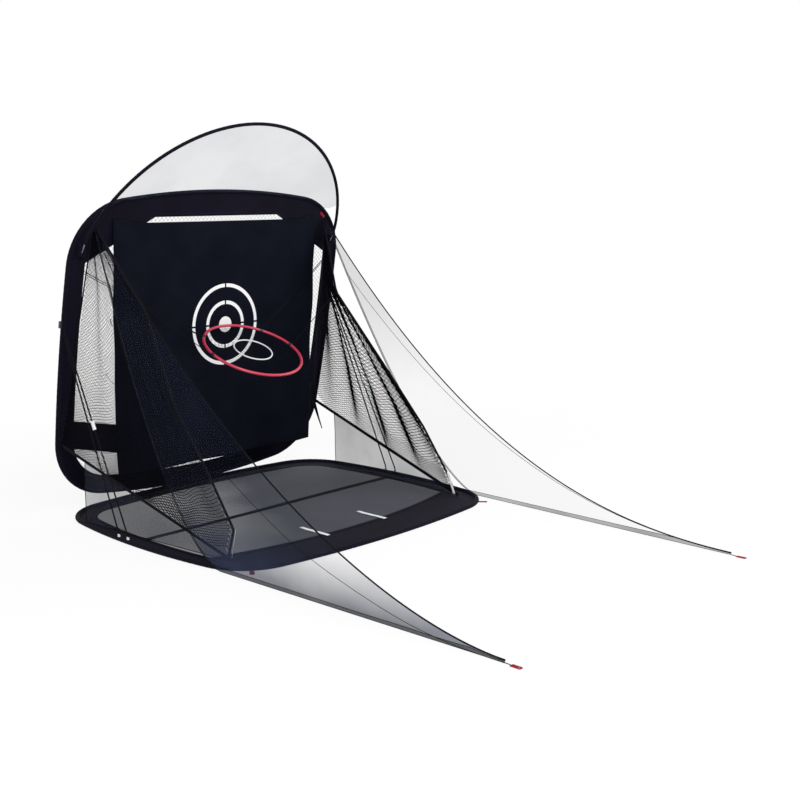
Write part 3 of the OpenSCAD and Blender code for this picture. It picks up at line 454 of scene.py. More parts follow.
rodSteel = grained("rodSteel", (0.30, 0.31, 0.33), (0.46, 0.47, 0.49), noise(60.0, 6.0, 0.7),
                   {"Metallic": 1.0, "Roughness": 0.32}, scale=(1, 1, 8))[0]
print("finishes made")

# ---- where things are ----

hinge = np.array(joints["upright_fold"]["pos_m"])
sheetPivot = np.array(joints["sheet_swing"]["pos_m"])
roofFeet = np.array(joints["roof_tilt"]["pos_m"])
ringLine = np.array(joints["ring_swing"]["pos_m"])
groundLow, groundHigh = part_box("ground_border")
middleY = (groundLow.y + groundHigh.y) / 2
groundFrame = dict(width=groundHigh.x - groundLow.x, depth=groundHigh.y - groundLow.y, radius=0.386,
                   sideBow=0.047, endBow=0.057, sleeve=0.015, band=0.150, lip=0.360, lipRise=0.105, lipHalf=0.9,
                   bandHeight=0.007)
uprightFrame = dict(width=2.464, depth=2.245, radius=0.470, sideBow=0.012, endBow=0.052, sleeve=0.015,
                    band=0.140, top=0.190, bottom=0.120, lean=math.radians(11.36),
                    gusset=0.552, gussetFall=0.566)
uprightMid = uprightFrame["depth"] / 2 - uprightFrame["sleeve"]
topS = uprightFrame["depth"] - uprightFrame["sleeve"]


def leanPoint(start, lean, x, up, off):
    # a point of a leaning plane: up its slope from start, and off in front of it
    return joined(x, start[1] - math.sin(lean) * up - math.cos(lean) * off,
                  start[2] + math.cos(lean) * up - math.sin(lean) * off)


def uprightPoint(x, s, off):
    return leanPoint(hinge, uprightFrame["lean"], x, s, off)


def groundPoint(x, y, z):
    return joined(x, y + middleY, z)


def placed(points, side):
    # points worked out for the right side, put on either side
    return (points + [0, middleY, 0]) * [side, 1, 1]


def sleeveSection(radius, bandLevel, bandThickness):
    # a sleeve's round, opened where the band leaves it, as distances inward and heights
    gap = math.asin(min(0.9, (abs(bandLevel) + bandThickness) / radius))
    base = math.asin(max(-0.95, min(0.95, bandLevel / radius)))
    angles = np.linspace(base + gap * 0.35, base + 2 * math.pi - gap * 0.35, 14)
    return np.stack([radius * np.cos(angles), radius * np.sin(angles)], axis=1)


def borderPiece(name, shape, edge, place, level, s):
    # a fabric sleeve round the rod, with its flat band in to the points of edge
    mid, out, far = bowedLoop(shape, s["points"])
    inner = edge(mid, out)
    pucker = 1 - puckers(far, 140, 9)[:, None]
    tubeIn, tubeUp = (column * pucker for column in sleeveSection(shape["sleeve"], level, 0.003).T)
    tube = raised(mid[:, None] - out[:, None] * tubeIn[:, :, None], tubeUp)
    start = mid - out * shape["sleeve"] * 0.97
    hem = (1 - s["hem"] / np.linalg.norm(inner - start, axis=1))[:, None]
    steps = np.tile((0.03, 0.10, 0.25, 0.45, 0.65, 0.82), (len(mid), 1))
    share = np.concatenate([steps, hem, hem + 0.004, np.ones_like(hem)], axis=1)
    flat = between(start[:, None], inner[:, None], share)
    height = level + s["wrinkle"] * arch(share, 0.7) * waves(far[:, None] * 9, share * 3.2, 1.3)
    half = np.full(share.shape, s["cloth"])
    half[:, -2:] *= 2
    loop = np.concatenate([tube[:, ::-1], raised(flat, height + half), raised(flat, height - half)[:, ::-1]], axis=1)
    return clothGrid(name, place(loop), borderCloth, closed=True)


# ---- ground frame ----

groundSettings = dict(points=520, wrinkle=0.0022, hem=0.022, cloth=0.0010, netRings=16, netLap=0.004, netRise=0.0062,
                      netWave=0.0012)


def lipAt(x):
    g = groundFrame
    r = (g["lipHalf"] ** 2 + g["lipRise"] ** 2) / (2 * g["lipRise"])
    return -(g["depth"] / 2 - g["lip"]) + r - np.sqrt(r ** 2 - np.minimum(np.abs(x), 1.2) ** 2)


def floorEdge(mid, out):
    p = mid - out * (groundFrame["band"] - groundFrame["sleeve"])
    return np.stack([p[:, 0], np.maximum(p[:, 1], lipAt(p[:, 0]))], axis=1)


def onGround(p):
    return groundPoint(p[..., 0], p[..., 1], np.maximum(p[..., 2] + groundFrame["sleeve"], 0.0006))


def makeFloorNet(s):
    mid, out, _ = bowedLoop(groundFrame, 240)
    edge = floorEdge(mid, out) + out * s["netLap"]
    shares = np.linspace(0, 1, s["netRings"]) ** 0.9 * 0.97
    flat = between(edge, edge.mean(axis=0), shares[:, None])
    rise = s["netRise"] + s["netWave"] * waves(flat[..., 0] * 5, flat[..., 1] * 5, 2.1) * arch(shares, 0.5)[:, None]
    points = groundPoint(flat[..., 0], flat[..., 1], rise)
    rings, n = points.shape[:2]
    faces = gridFaces(rings, n, closeCols=True) + [tuple((rings - 1) * n + k for k in range(n))]
    net = buildMesh("floorNet", points.reshape(-1, 3), faces, floorFilmWithPaintedShade, points.reshape(-1, 3)[:, :2])
    settle([net], "ground", "grey_net", "floor_net")


bandLevel = groundFrame["bandHeight"] - groundFrame["sleeve"]
settle([borderPiece("groundBorder", groundFrame, floorEdge, onGround, bandLevel, groundSettings)], "ground",
       "black_cloth", "ground_border")
makeFloorNet(groundSettings)

floorStrapSettings = dict(y=0.045, width=0.050, half=1.142, z=0.0108, thickness=0.002)


def makeFloorStrap(s):
    x = np.linspace(-s["half"], s["half"], 60)
    line = groundPoint(x, s["y"] + 0.004 * np.sin(x * 3), s["z"] + 0.0003 * np.sin(x * 30))
    strap = ribbonLine("floorStrap", line, (0, 1, 0), s["width"], s["thickness"], blackWebbing)
    settle([strap], "ground", "black_webbing", "floor_strap")


makeFloorStrap(floorStrapSettings)

frontStrapSettings = dict(x=0.27, y=-0.48, length=0.27, width=0.028, thickness=0.0022, z=0.0110, hookRadius=0.0075,
                          wire=0.0016)


def makeFrontStrap(side, word, s):
    y = np.linspace(s["y"], s["y"] - s["length"], 16)
    line = groundPoint(side * s["x"] + 0.002 * np.sin(y * 25), y, s["z"] + 0.0008 * np.sin(y * 40) ** 2)
    strap = ribbonLine("frontStrap" + word, line, (1, 0, 0), s["width"], s["thickness"], whiteWebbing)
    turn = np.linspace(math.radians(60), math.radians(-230), 22)
    r = s["hookRadius"]
    hookLine = groundPoint(side * s["x"] + r * np.cos(turn), y[-1] - r + r * np.sin(turn), s["z"] + 0.001)
    hook = tubes("frontHook" + word, [hookLine], s["wire"], blackPlastic)
    settle([strap, hook], "ground", "white_print", "front_strap_" + word.lower())


for side, word in words.items():
    makeFrontStrap(side, word, frontStrapSettings)

# ---- red tabs: webbing folded round an eyelet ----

tabSettings = dict(length=0.065, width=0.030, thickness=0.0026, hole=0.006, eyelet=0.0022, corner=0.008, lift=0.0004,
                   turn=142, level=0.004, tuck=0.0015)


def tabOutline(s):
    w, l, c = s["width"] / 2, s["length"], s["corner"]
    far = [(l - c + c * math.cos(a), w - c + c * math.sin(a)) for a in np.linspace(math.pi / 2, 0, 12)]
    return np.array([(0.001, w)] + far + [(x, -y) for x, y in far[::-1]] + [(0.001, -w)])


def tabPair(tabName, eyeletName, s, place):
    # a flat plate with a round hole, meshed between its outline and the hole, and the eyelet in the hole
    outer = tabOutline(s)
    centre = np.array([s["length"] - s["width"] / 2, 0])
    dense = np.concatenate([straight(a, b, 5)[:-1] for a, b in zip(outer, np.roll(outer, -1, axis=0))])
    angle = np.arctan2(dense[:, 1] - centre[1], dense[:, 0] - centre[0])
    dense, angle = dense[np.argsort(angle)], np.sort(angle)
    hole = centre + s["hole"] * np.stack([np.cos(angle), np.sin(angle)], axis=1)
    half = s["thickness"] / 2
    profile = ((0, 0.5), (0.15, 1), (0.5, 1), (0.97, 1), (1, 0.5))
    top = [raised(between(hole, dense, t), half * height) for t, height in profile]
    points = np.array(top + [ring * [1, 1, -1] for ring in top[::-1]]) + [0, 0, half + s["lift"]]
    tab = clothGrid(tabName, place(points), redWebbing, closed=True)
    turn = np.linspace(0, 2 * math.pi, 33)
    r = s["hole"] + s["eyelet"] * 0.7
    ring = joined(centre[0] + r * np.cos(turn), r * np.sin(turn), half + s["lift"])
    return [tab, tubes(eyeletName, [place(ring)], s["eyelet"], blackPlastic)]


def turned(origin, heading):
    c, n = direction(heading)

    def place(p):
        return joined(origin[0] + p[..., 0] * c - p[..., 1] * n, origin[1] + p[..., 0] * n + p[..., 1] * c, p[..., 2])
    return place


def makeTabs(s):
    corner, r = cornerCentre(groundFrame), groundFrame["sleeve"]
    start = groundFrame["radius"] - r + math.sqrt(r ** 2 - (r - s["level"]) ** 2) - s["tuck"]
    tabs = []
    for side, word in words.items():
        heading = math.radians(90 - side * s["turn"])
        origin = np.array([side * corner[0], middleY - corner[1]]) + start * direction(heading)
        tabs += tabPair("cornerTab" + word, "cornerEyelet" + word, s, turned(origin, heading))
    settle(tabs, "ground", "red_webbing", "corner_tabs")
    for word in words.values():
        node = "peg_tab_" + word.lower()
        low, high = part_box(node)
        place = turned(((low.x + high.x) / 2, high.y), -math.pi / 2)
        settle(tabPair("pegTab" + word, "pegEyelet" + word, s, place), "ground", "red_webbing", node)


makeTabs(tabSettings)

hingeLoopSettings = dict(x=0.022, width=0.028, radius=0.0173, thickness=0.0022, start=-1, end=265)


def makeHingeLoops(s):
    # webbing round the upright frame's lower sleeve, open where its band leaves
    turn = np.radians(np.linspace(s["start"], s["end"], 40)) + math.pi / 2
    y, z = hinge[1] + s["radius"] * np.sin(turn), hinge[2] + s["radius"] * np.cos(turn)
    loops = [ribbonLine("hingeLoop" + word, joined(side * s["x"], y, z), (1, 0, 0), s["width"], s["thickness"],
                        blackWebbing) for side, word in words.items()]
    settle(loops, "ground", "black_webbing", "hinge_loops")


makeHingeLoops(hingeLoopSettings)

clipSettings = dict(width=0.013, length=0.026, height=0.0172, waist=0.72, toe=0.0024, inset=0.007)


def clipMesh(name, centre, s):
    # a moulded cord clip: waisted sides, rounded ends and a raised lip
    turn = np.linspace(0, 2 * math.pi, 24, endpoint=False)
    rows = []
    for t in np.linspace(0, 1, 9):
        swell = s["waist"] + (1 - s["waist"]) * abs(2 * t - 1) ** 1.5
        end = math.sqrt(max(0.0, 1 - abs(2 * t - 1) ** 6)) * 0.35 + 0.65
        x, y = (np.sign(way) * np.abs(way) ** 0.5 * size / 2 * swell * end
                for way, size in ((np.cos(turn), s["width"]), (np.sin(turn), s["length"])))
        up = centre[2] + (t - 0.5) * s["height"] - t * s["toe"] * smoothStep(0.7 - y / 0.002)
        rows.append(joined(x + centre[0], y + centre[1], up))
    faces = gridFaces(9, 24, closeCols=True) + [tuple(range(24))[::-1], tuple(8 * 24 + k for k in range(24))]
    return buildMesh(name, np.concatenate(rows), faces, whitePlastic)


def makeCordClips(s):
    low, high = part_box("cord_anchors")
    clips = []
    for side, word in words.items():
        for k, y in enumerate((low.y + s["length"] / 2, high.y - s["length"] / 2)):
            centre = (side * (high.x - s["inset"]), y, (low.z + high.z) / 2)
            clips.append(clipMesh("cordClip" + word + str(k + 1), centre, s))
    settle(clips, "ground", "white_plastic", "cord_anchors")


makeCordClips(clipSettings)
print("ground frame made")

# ---- upright frame ----

uprightSettings = dict(points=560, wrinkle=0.0030, hem=0.022, cloth=0.0010, cell=0.024, lap=0.006, cordRadius=0.0009,
                       sag=0.012)
windowLow = uprightFrame["bottom"] - uprightFrame["sleeve"]
windowTop = topS - uprightFrame["top"]


def windowEdge(mid, out):
    p = mid - out * (uprightFrame["band"] - uprightFrame["sleeve"])
    top = windowTop - uprightFrame["gussetFall"] * np.maximum(0, np.abs(p[:, 0]) - uprightFrame["gusset"])
    return np.stack([p[:, 0], np.minimum(np.maximum(p[:, 1], windowLow - uprightMid), top - uprightMid)], axis=1)


def onUpright(p):
    return uprightPoint(p[..., 0], p[..., 1] + uprightMid, p[..., 2])


def clipLine(point, way, polygon):
    # the stretch of a line that lies inside a convex polygon that runs anticlockwise
    low, high = -10.0, 10.0
    for a, b in zip(polygon, np.roll(polygon, -1, axis=0)):
        inward = np.array([-(b - a)[1], (b - a)[0]])
        rate, gap = inward.dot(way), inward.dot(point - a)
        if abs(rate) < 1e-12:
            if gap < 0:
                return None
        elif rate > 0:
            low = max(low, -gap / rate)
        else:
            high = min(high, -gap / rate)
    return (low, high) if high - low > 0.01 else None


def meshLines(polygon, cell, step):
    # the diagonal cords of a knotted net inside a polygon
    lines = []
    centre = (polygon.max(axis=0) + polygon.min(axis=0)) / 2
    count = int(np.linalg.norm(np.ptp(polygon, axis=0)) / 2 / cell)
    for turn in (math.radians(45), math.radians(-45)):
        way = direction(turn)
        across = np.array([-way[1], way[0]])
        for k in range(-count, count + 1):
            start = centre + across * (k + 0.5) * cell
            part = clipLine(start, way, polygon)
            if part:
                points = max(2, int((part[1] - part[0]) / step) + 1)
                lines.append(start + np.linspace(*part, points)[:, None] * way)
    return lines


def makeBackNet(s):
    mid, out, _ = bowedLoop(uprightFrame, 120)
    edge = windowEdge(mid, out) + out * s["lap"]
    half = np.ptp(edge, axis=0) / 2
    lines = []
    for line in meshLines(edge, s["cell"], 0.12):
        near = np.clip(1 - np.abs(line / half) ** 4, 0, 1).prod(axis=1)
        off = -s["sag"] * near * (0.7 + 0.3 * waves(line[:, 0] * 3, line[:, 1] * 3, 4.4))
        lines.append(onUpright(raised(line, off)))
    settle([tubes("backNet", lines, s["cordRadius"], netCord, sides=3)], "upright", "grey_net", "back_net")


settle([borderPiece("uprightBorder", uprightFrame, windowEdge, onUpright, 0.0, uprightSettings)], "upright",
       "black_cloth", "upright_border")
makeBackNet(uprightSettings)

pullTabSettings = dict(length=0.060, width=0.020, thickness=0.0026, hole=0.005, eyelet=0.0018, corner=0.006,
                       lift=0.0004, raised=0.0026, turn=50, inside=0.050)


def makePullTab(s):
    turn = math.radians(s["turn"])
    spot = cornerCentre(uprightFrame) + (uprightFrame["radius"] - s["inside"]) * direction(turn)
    heading = turn + math.pi / 2
    onBand = turned(spot - direction(heading) * s["length"] / 2, heading)
    tab = tabPair("pullTab", "pullTabEyelet", s, lambda p: onUpright(onBand(p) + [0, 0, s["raised"]]))
    settle(tab, "upright", "red_webbing", "upright_tab")


makePullTab(pullTabSettings)

# ---- target sheet ----

sheetSettings = dict(width=1.840, height=1.772, x=0.030, angle=math.radians(3.3), slitWidth=1.665, slitHeight=0.027,
                     fold=0.027, thickness=0.0018, edgeBack=0.019, flutter=0.006, crease=0.0045, hems=(0.012, 0.020),
                     seam=0.978, seamLift=0.0014, seamRadius=0.0008, bullHeight=0.992, bullX=0.062, outer=0.300,
                     inner=0.175, dot=0.058, line=0.026, gap=0.014, inkLift=0.0017)


def sheetShape(s, u, v):
    # where the sheet is for u from -1 to 1 across it and v from 0 at the hem to 1 at the top seam
    narrow = 1 - 0.014 * (1 - v) * (1 + np.cos(np.radians(900 * v))) / 2 - 0.01 * (1 - v)
    x = u * s["width"] / 2 * narrow
    slack = np.clip((s["slitWidth"] / 2 - np.abs(x)) / 0.07, 0, 1) * s["slitHeight"]
    drop = -s["height"] * (1 - v) - np.where(v > 0.9, slack * (v - 0.9) * 10, 0)
    smoothFrom = (s["bullHeight"] - s["outer"] - 0.03) / s["height"]
    swell = (1 + np.sin(np.radians(540 * u + 50)) * (0.6 + 0.4 * np.cos(np.radians(500 * v)))) / 2
    off = s["fold"] * np.maximum(0, 1 - v / smoothFrom) ** 1.3 * swell
    edge = np.clip((np.abs(u) - 0.75) / 0.25, 0, 1) ** 2
    off = off + s["flutter"] * edge * np.sin(v * 19 + u * 2) * arch(v)
    off = off - s["edgeBack"] * arch(v) * np.clip((np.abs(u) - 0.9) * 10, 0, 1)
    x = x + s["x"]
    aside = np.hypot(x - s["bullX"], drop + s["height"] - s["bullHeight"])
    creaseFade = np.clip(1.25 * (1 - v), 0, 1) * np.clip((aside - 0.31) * 8, 0, 1)
    off = off + s["crease"] * creaseFade * waves(u * 5.5 + v * 1.6, v * 4.2, 3.7)
    return x, drop, off


def onSheet(s, x, drop, off, lift=0.0):
    return leanPoint(sheetPivot, s["angle"], x, drop, off + lift)


def makeTargetSheet(s):
    u, v = np.meshgrid(np.linspace(-1, 1, 121), np.linspace(0, 1, 111))
    sheet = thickCloth("targetSheet", onSheet(s, *sheetShape(s, u, v)), s["thickness"], sheetCloth)
    ways = [(np.linspace(-0.985, 0.985, 120), level) for level in s["hems"]]
    ways += [(side * s["seam"], np.linspace(0.02, 0.97, 110)) for side in (-1, 1)]
    lines = [onSheet(s, *sheetShape(s, *way), s["seamLift"]) for way in ways]
    seams = tubes("sheetSeams", lines, s["seamRadius"], blackCord, sides=4)
    settle([sheet, seams], "target", "black_cloth", "target_sheet")


def makeTargetPrint(s):
    # two broken circles and a dot, printed on the sheet
    points, faces = [], []

    def patch(r0, r1, a0, a1, steps, across):
        start = sum(len(p) for p in points)
        turn, radius = np.meshgrid(np.linspace(a0, a1, steps), np.linspace(r0, r1, across))
        x, up = s["bullX"] + radius * np.sin(turn), radius * np.cos(turn)
        points.append(onSheet(s, x, up + s["bullHeight"] - s["height"], s["inkLift"]).reshape(-1, 3))
        faces.extend(gridFaces(across, steps, start=start))
    for radius in (s["outer"], s["inner"]):
        half = math.asin(s["gap"] / 2 / radius)
        for k in range(4):
            patch(radius - s["line"], radius, k * math.pi / 2 + half, (k + 1) * math.pi / 2 - half, 28, 3)
    patch(0.0005, s["dot"], 0, 2 * math.pi, 49, 4)
    ink = buildMesh("targetPrint", np.concatenate(points), faces, printInk)
    settle([ink], "target", "white_print", "target_print")


makeTargetSheet(sheetSettings)
makeTargetPrint(sheetSettings)
print("upright frame and sheet made")

# ---- side nets, straps and panels ----

sideSettings = dict(cells=46, rows=74, radius={-1: 0.0013, 1: 0.0029}, foot={-1: 1.8, 1: -0.3}, edge=0.0080,
                    hem=0.0048, pleat=0.030, pleats=4.5, crowd=0.10, sag=0.030, footShare=0.14, inside=0.037,
                    netOff=0.024, strapS=0.470, strapWidth=0.025, strapThickness=0.0028, tapeWidth=0.016,
                    tapeThickness=0.0016)
innerX = uprightFrame["width"] / 2 - uprightFrame["sideBow"] - sideSettings["inside"]
strapStart = np.array([innerX, *(uprightPoint(0, sideSettings["strapS"], sideSettings["netOff"])[1:] - [middleY, 0])])
strapEnd = np.array([1.060, -0.700, 0.020])
netFoot = np.array([1.000, -0.680, 0.190])
netEdgePoints = [netFoot, (1.000, -0.450, 0.500), (0.985, -0.090, 0.900), (0.874, 0.330, 1.460),
                 uprightPoint(1.030, 1.985, 0.012) - [0, middleY, 0]]
netTop = uprightPoint(1.058, 1.935, sideSettings["netOff"]) - [0, middleY, 0]


def alongPoints(points, t):
    points = np.asarray(points, float)
    at = np.linspace(0, 1, len(points))
    return np.stack([np.interp(t, at, points[:, k]) for k in range(3)], axis=-1)


def sidePoint(u, v, s):
    # u runs from the upright frame to the front edge, v from the strap to the top
    lift = np.array([0, 0, s["strapWidth"] + 0.002])
    foot = s["footShare"]
    rear = between(strapStart + lift, netTop, v)
    low = between(strapEnd + lift, netFoot, np.clip(v / foot, 0, 1))
    high = alongPoints(netEdgePoints, np.clip((v - foot) / (1 - foot), 0, 1))
    front = np.where((v < foot)[..., None], low, high)
    pleat = s["pleat"] * np.sin(2 * math.pi * s["pleats"] * u + 1.2 * v) * arch(u) * arch(v, 0.6)
    sag = s["sag"] * arch(u) * arch(v)
    return between(rear, front, u) + joined(pleat - sag, 0, -0.4 * sag)


def makeSideNet(side, word, s):
    lines, radii = [], []
    for slope in (1, -1):
        for k in range(1, s["cells"] + s["rows"]):
            # one diagonal cord of the net, across cells from edge to edge
            j = np.linspace(0, s["rows"], 38)
            i = k - j if slope > 0 else k - s["rows"] + j
            keep = (i >= 0) & (i <= s["cells"])
            if keep.sum() < 3:
                continue
            u, v = i[keep] / s["cells"], j[keep] / s["rows"]
            # the cords crowd together where the net hangs in folds
            u = u + s["crowd"] * np.sin(2 * math.pi * s["pleats"] * u + 1.2 * v) / s["pleats"] * arch(u)
            lines.append(placed(sidePoint(u, v, s), side))
            radii.append(s["radius"][side] * (1 + s["foot"][side] * (1 - v) ** 4))
    net = tubes("sideNet" + word, lines, radii, netCord, sides=3)
    v = np.linspace(0, 1, 60)
    front, back = (placed(sidePoint(np.full(60, u), v, s), side) for u in (1.0, 0.0))
    edge = tubes("sideNetEdge" + word, [front], s["edge"], blackCord)
    rear = tubes("sideNetHem" + word, [back], s["hem"], blackCord)
    # the tape that ties the net's foot down to the strap's end
    down = placed(straight(netFoot + [-0.004, -0.012, 0.004], strapEnd + [-0.012, -0.012, 0.004], 12), side)
    tape = ribbonLine("netTape" + word, down, (0.66 * side, -0.75, 0), s["tapeWidth"], s["tapeThickness"],
                      whiteWebbing)
    return settle([net, edge, rear, tape], "ground", "grey_net", "side_net_" + word.lower())


def makeSideStrap(side, word, s):
    line = straight(strapStart, strapEnd, 40)
    tail = (strapEnd[0] - 0.002, strapEnd[1] - 0.04, 0.0095)
    line = np.concatenate([line, between(line[-1], tail, np.linspace(0.3, 1, 4))])
    line = placed(line + [0.002, 0, s["strapWidth"] / 2], side)
    lean = joined(0.10 * side * np.sin(np.linspace(0, 3, len(line))), 0, 1)
    strap = ribbonLine("sideStrap" + word, line, lean, s["strapWidth"], s["strapThickness"], blackWebbing)
    return settle([strap], "ground", "black_webbing", "side_strap_" + word.lower())


panelSettings = dict(foot=(1.178, 0.665, 0.0115), front=(1.062, -0.670, 0.0115), hem=0.0030, hemRadius=0.0024,
                     billow=0.014, ripple=0.004, areaShare=0.56)


def makeLowerPanel(side, word, s):
    reach = strapStart[1] - strapEnd[1]
    t0, t1 = ((strapStart[1] - s[end][1]) / reach for end in ("foot", "front"))
    u, v = unitGrid(60, 22)
    low = between(s["foot"], s["front"], u)
    high = between(strapStart, strapEnd, t0 + (t1 - t0) * u) + [0.001, 0, 0]
    billow = s["billow"] * arch(v) * arch(u, 0.5) + s["ripple"] * waves(u * 9, v * 2, 5.2) * arch(v)
    points = placed(between(low, high, v) - joined(billow, 0, 0), side)
    panel = clothGrid("lowerPanel" + word, points, panelFilm)
    hems = [points[0] + [0, 0, s["hem"]], points[:, 0]]
    hem = tubes("panelHem" + word, hems, s["hemRadius"], blackCord, sides=6)
    settle([panel, hem], "ground", "fine_net", "lower_panel_" + word.lower())
    height, length = apart(points[0, 0], points[-1, 0]), apart(points[0, 0], points[0, -1])
    return [panel, hem]


for side, word in words.items():
    strap = makeSideStrap(side, word, sideSettings)
    for piece in makeSideNet(side, word, sideSettings):
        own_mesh(piece)
    for piece in strap + makeLowerPanel(side, word, panelSettings):
        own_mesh(piece)
print("side nets made")

# ---- wings ----

wingSettings = dict(x=1.200, footBack=0.046, tipIn=0.057, reach=2.867, low=0.002, tipHeight=0.012, bow=1.55,
                    edge=0.0045, hem=0.025, rearHem=0.008, billow=0.020, hemOut=0.0016, seamRadius=0.0016,
                    endCord=0.0024,
                    sag={-1: 1.7, 1: 2.2}, seam={-1: (0.61, 1.0), 1: (0.80, 0.0)})
cornerX, cornerY = cornerCentre(groundFrame)
wingFootY = -cornerY - math.sqrt(groundFrame["radius"] ** 2 - (wingSettings["x"] - cornerX) ** 2) \
    - wingSettings["footBack"]
wingHead = uprightPoint(1.040, 2.006, 0.0083) - [0, middleY, 0]
wingDraw = wingSettings["tipIn"] / (wingFootY + wingSettings["reach"])
wingTurn = (wingSettings["x"] + wingDraw * (wingHead[1] - wingFootY) - wingHead[0]) \
    / (wingHead[2] - wingSettings["low"])


def wingHeight(s, side, u):
    return s["tipHeight"] + (wingHead[2] - s["low"] - s["tipHeight"]) * (1 - u) ** s["sag"][side]


def wingPower(s, u):
    return 1 + (s["bow"] - 1) * (1 - u)


def wingPoint(s, side, u, v, out=0.0):
    # u runs from the frame to the tip, v from the ground to the cord, out stands off the net
    z = s["low"] + wingHeight(s, side, u) * v ** wingPower(s, u)
    lowY = wingFootY + (-s["reach"] - wingFootY) * u
    highY = wingHead[1] + (-s["reach"] - wingHead[1]) * u
    y = lowY + (highY - lowY) * v
    x = s["x"] + wingDraw * (y - wingFootY) - wingTurn * (z - s["low"]) + 0.001
    billow = s["billow"] * arch(v) * arch(u, 0.7) * (1 + 0.5 * waves(u * 8, v * 3, 6.1 + side))
    return joined(side * (x + billow + out), y + middleY, z)


def makeWing(side, word, s):
    points = wingPoint(s, side, *unitGrid(150, 40))
    net = clothGrid("wingNet" + word, points, wingFilms[side])
    line, rearV = np.linspace(0, 1, 150), np.linspace(0.02, 1, 60)
    edgeLine = wingPoint(s, side, line, 1) + [0, 0, s["edge"] * 0.6]
    edge = tubes("wingEdge" + word, [edgeLine], s["edge"], blackCord)
    hemShare = np.minimum(0.8, s["hem"] / wingHeight(s, side, line)) ** (1 / wingPower(s, line))
    u, v = unitGrid(150, 4)
    floorHem = clothGrid("wingHem" + word, wingPoint(s, side, u, v * hemShare, s["hemOut"]), panelFilm)
    u, v = np.meshgrid(np.linspace(0, s["rearHem"], 3), rearV)
    rearHem = clothGrid("wingRearHem" + word, wingPoint(s, side, u, v, s["hemOut"]), panelFilm)
    share, fall = s["seam"][side]
    seamShare = (share * (1 - fall * line ** 2)) ** (1 / wingPower(s, line))
    seams = [wingPoint(s, side, *way) for way in ((line, seamShare, 0.0012), (line, hemShare, 0.003),
                                                  (0.009, rearV, 0.003), (0.0, rearV, 0.001), (line, 0, 0.001))]
    seams[-1][:, 2] += 0.0012
    seams = tubes("wingSeams" + word, seams, s["seamRadius"], blackCord, sides=5)
    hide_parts("wing_edge_" + word.lower())
    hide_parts("wing_hem_" + word.lower())
    pieces = settle([net, edge, floorHem, rearHem, seams], "ground", "fine_net", "wing_net_" + word.lower())
    return pieces


def makeWingEndCord(word, s):
    node = "wing_end_cord_" + word.lower()
    low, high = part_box(node)
    x = (low.x + high.x) / 2
    cord = tautCord("wingEndCord" + word, straight((x, high.y, 0.0035), (x, low.y, 0.0025), 15), s["endCord"])
    settle([cord], "ground", "black_webbing", node)


groundSoft = []
for side, word in words.items():
    groundSoft += makeWing(side, word, wingSettings)
    makeWingEndCord(word, wingSettings)
for piece in groundSoft:
    piece.parent = None
print("wings made")

# ---- side bands and ties ----

bandSettings = dict(s0=0.440, s1=0.640, lap=0.025, inside=0.020, behind=0.016, off=0.0033, wrinkle=0.006,
                    tail=(1.262, 0.235, 0.066), tailLow=0.030, tailHigh=0.160, tailStart=0.017, belly=0.016,
                    thickness=0.0016, keep=0.10)


def sheetOff(s):
    base = uprightFrame["lean"] - sheetSettings["angle"]
    return 0.0083 + (windowTop - 0.008 - s) * math.tan(base)


def makeSideBand(side, word, s):
    inner, outer = sheetSettings["width"] / 2 + side * sheetSettings["x"] - s["lap"], innerX - s["inside"]
    v = np.linspace(0, 1, 22)
    columns = []
    for t in np.linspace(0, 1, 26):
        level, near = s["s0"] + (s["s1"] - s["s0"]) * v, min(1, t * 1.2)
        off = (sheetOff(level) - s["behind"]) * (1 - near) + s["off"] * near
        off = off + s["wrinkle"] * arch(t) * waves(t * 5, v * 6, 7.7)
        columns.append(uprightPoint(side * (inner + (outer - inner) * t), level, off))
    if side > 0:
        # the right band goes on in a tail that hangs out past the frame
        tailX, tailS, tailOff = s["tail"]
        startX = innerX + 0.010
        for t in np.linspace(0.06, 1, 16):
            low = (s["s0"] - s["tailLow"]) + (s["s1"] - s["tailHigh"] - s["s0"] + s["tailLow"]) * v
            level = low + (tailS + 0.004 * v - low) * t
            off = s["tailStart"] + (tailOff - s["tailStart"]) * t + s["belly"] * arch(v) * t * (1 - 0.4 * t)
            columns.append(uprightPoint(startX + (tailX - startX) * t, level, off))
    points = np.array(columns).transpose(1, 0, 2)
    band = thickCloth("sideBand" + word, points, s["thickness"], borderCloth)
    settle([band], "upright", "black_cloth", "side_band_" + word.lower())
    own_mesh(band)
    width, height = float(lengthsAlong(points, 1).max()), float(lengthsAlong(points).max())
    area = clothArea(points)
    height = max(height, area / width)


tieSettings = dict(levels=(0.930, 1.320), past=0.004, behind=0.017, netX=0.849, short=0.008, lap=0.004, rise=0.02,
                   off=0.0043, drop=0.006, slack=0.001, radius=0.0028, keep=0.10)


def makeSheetTies(s):
    lines = []
    for side in (-1, 1):
        for level in s["levels"]:
            edgeX = sheetSettings["x"] + side * (sheetSettings["width"] / 2 + s["past"])
            a = uprightPoint(edgeX, level, sheetOff(level) - s["behind"])
            b, lap = (uprightPoint(side * (s["netX"] + out), level + s["rise"], s["off"])
                      for out in (s["short"], -s["lap"]))
            middle, slack = (a + b) / 2 - [0, 0, s["drop"]], [0, 0, s["slack"]]
            lines.append(np.array([a, (a + middle) / 2 - slack, middle, (b + middle) / 2 - slack, b, lap]))
    ties = tubes("sheetTies", lines, s["radius"], blackCord)
    settle([ties], "upright", "black_webbing", "sheet_ties")
    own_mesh(ties)


for side, word in words.items():
    makeSideBand(side, word, bandSettings)
makeSheetTies(tieSettings)

# ---- roof ----

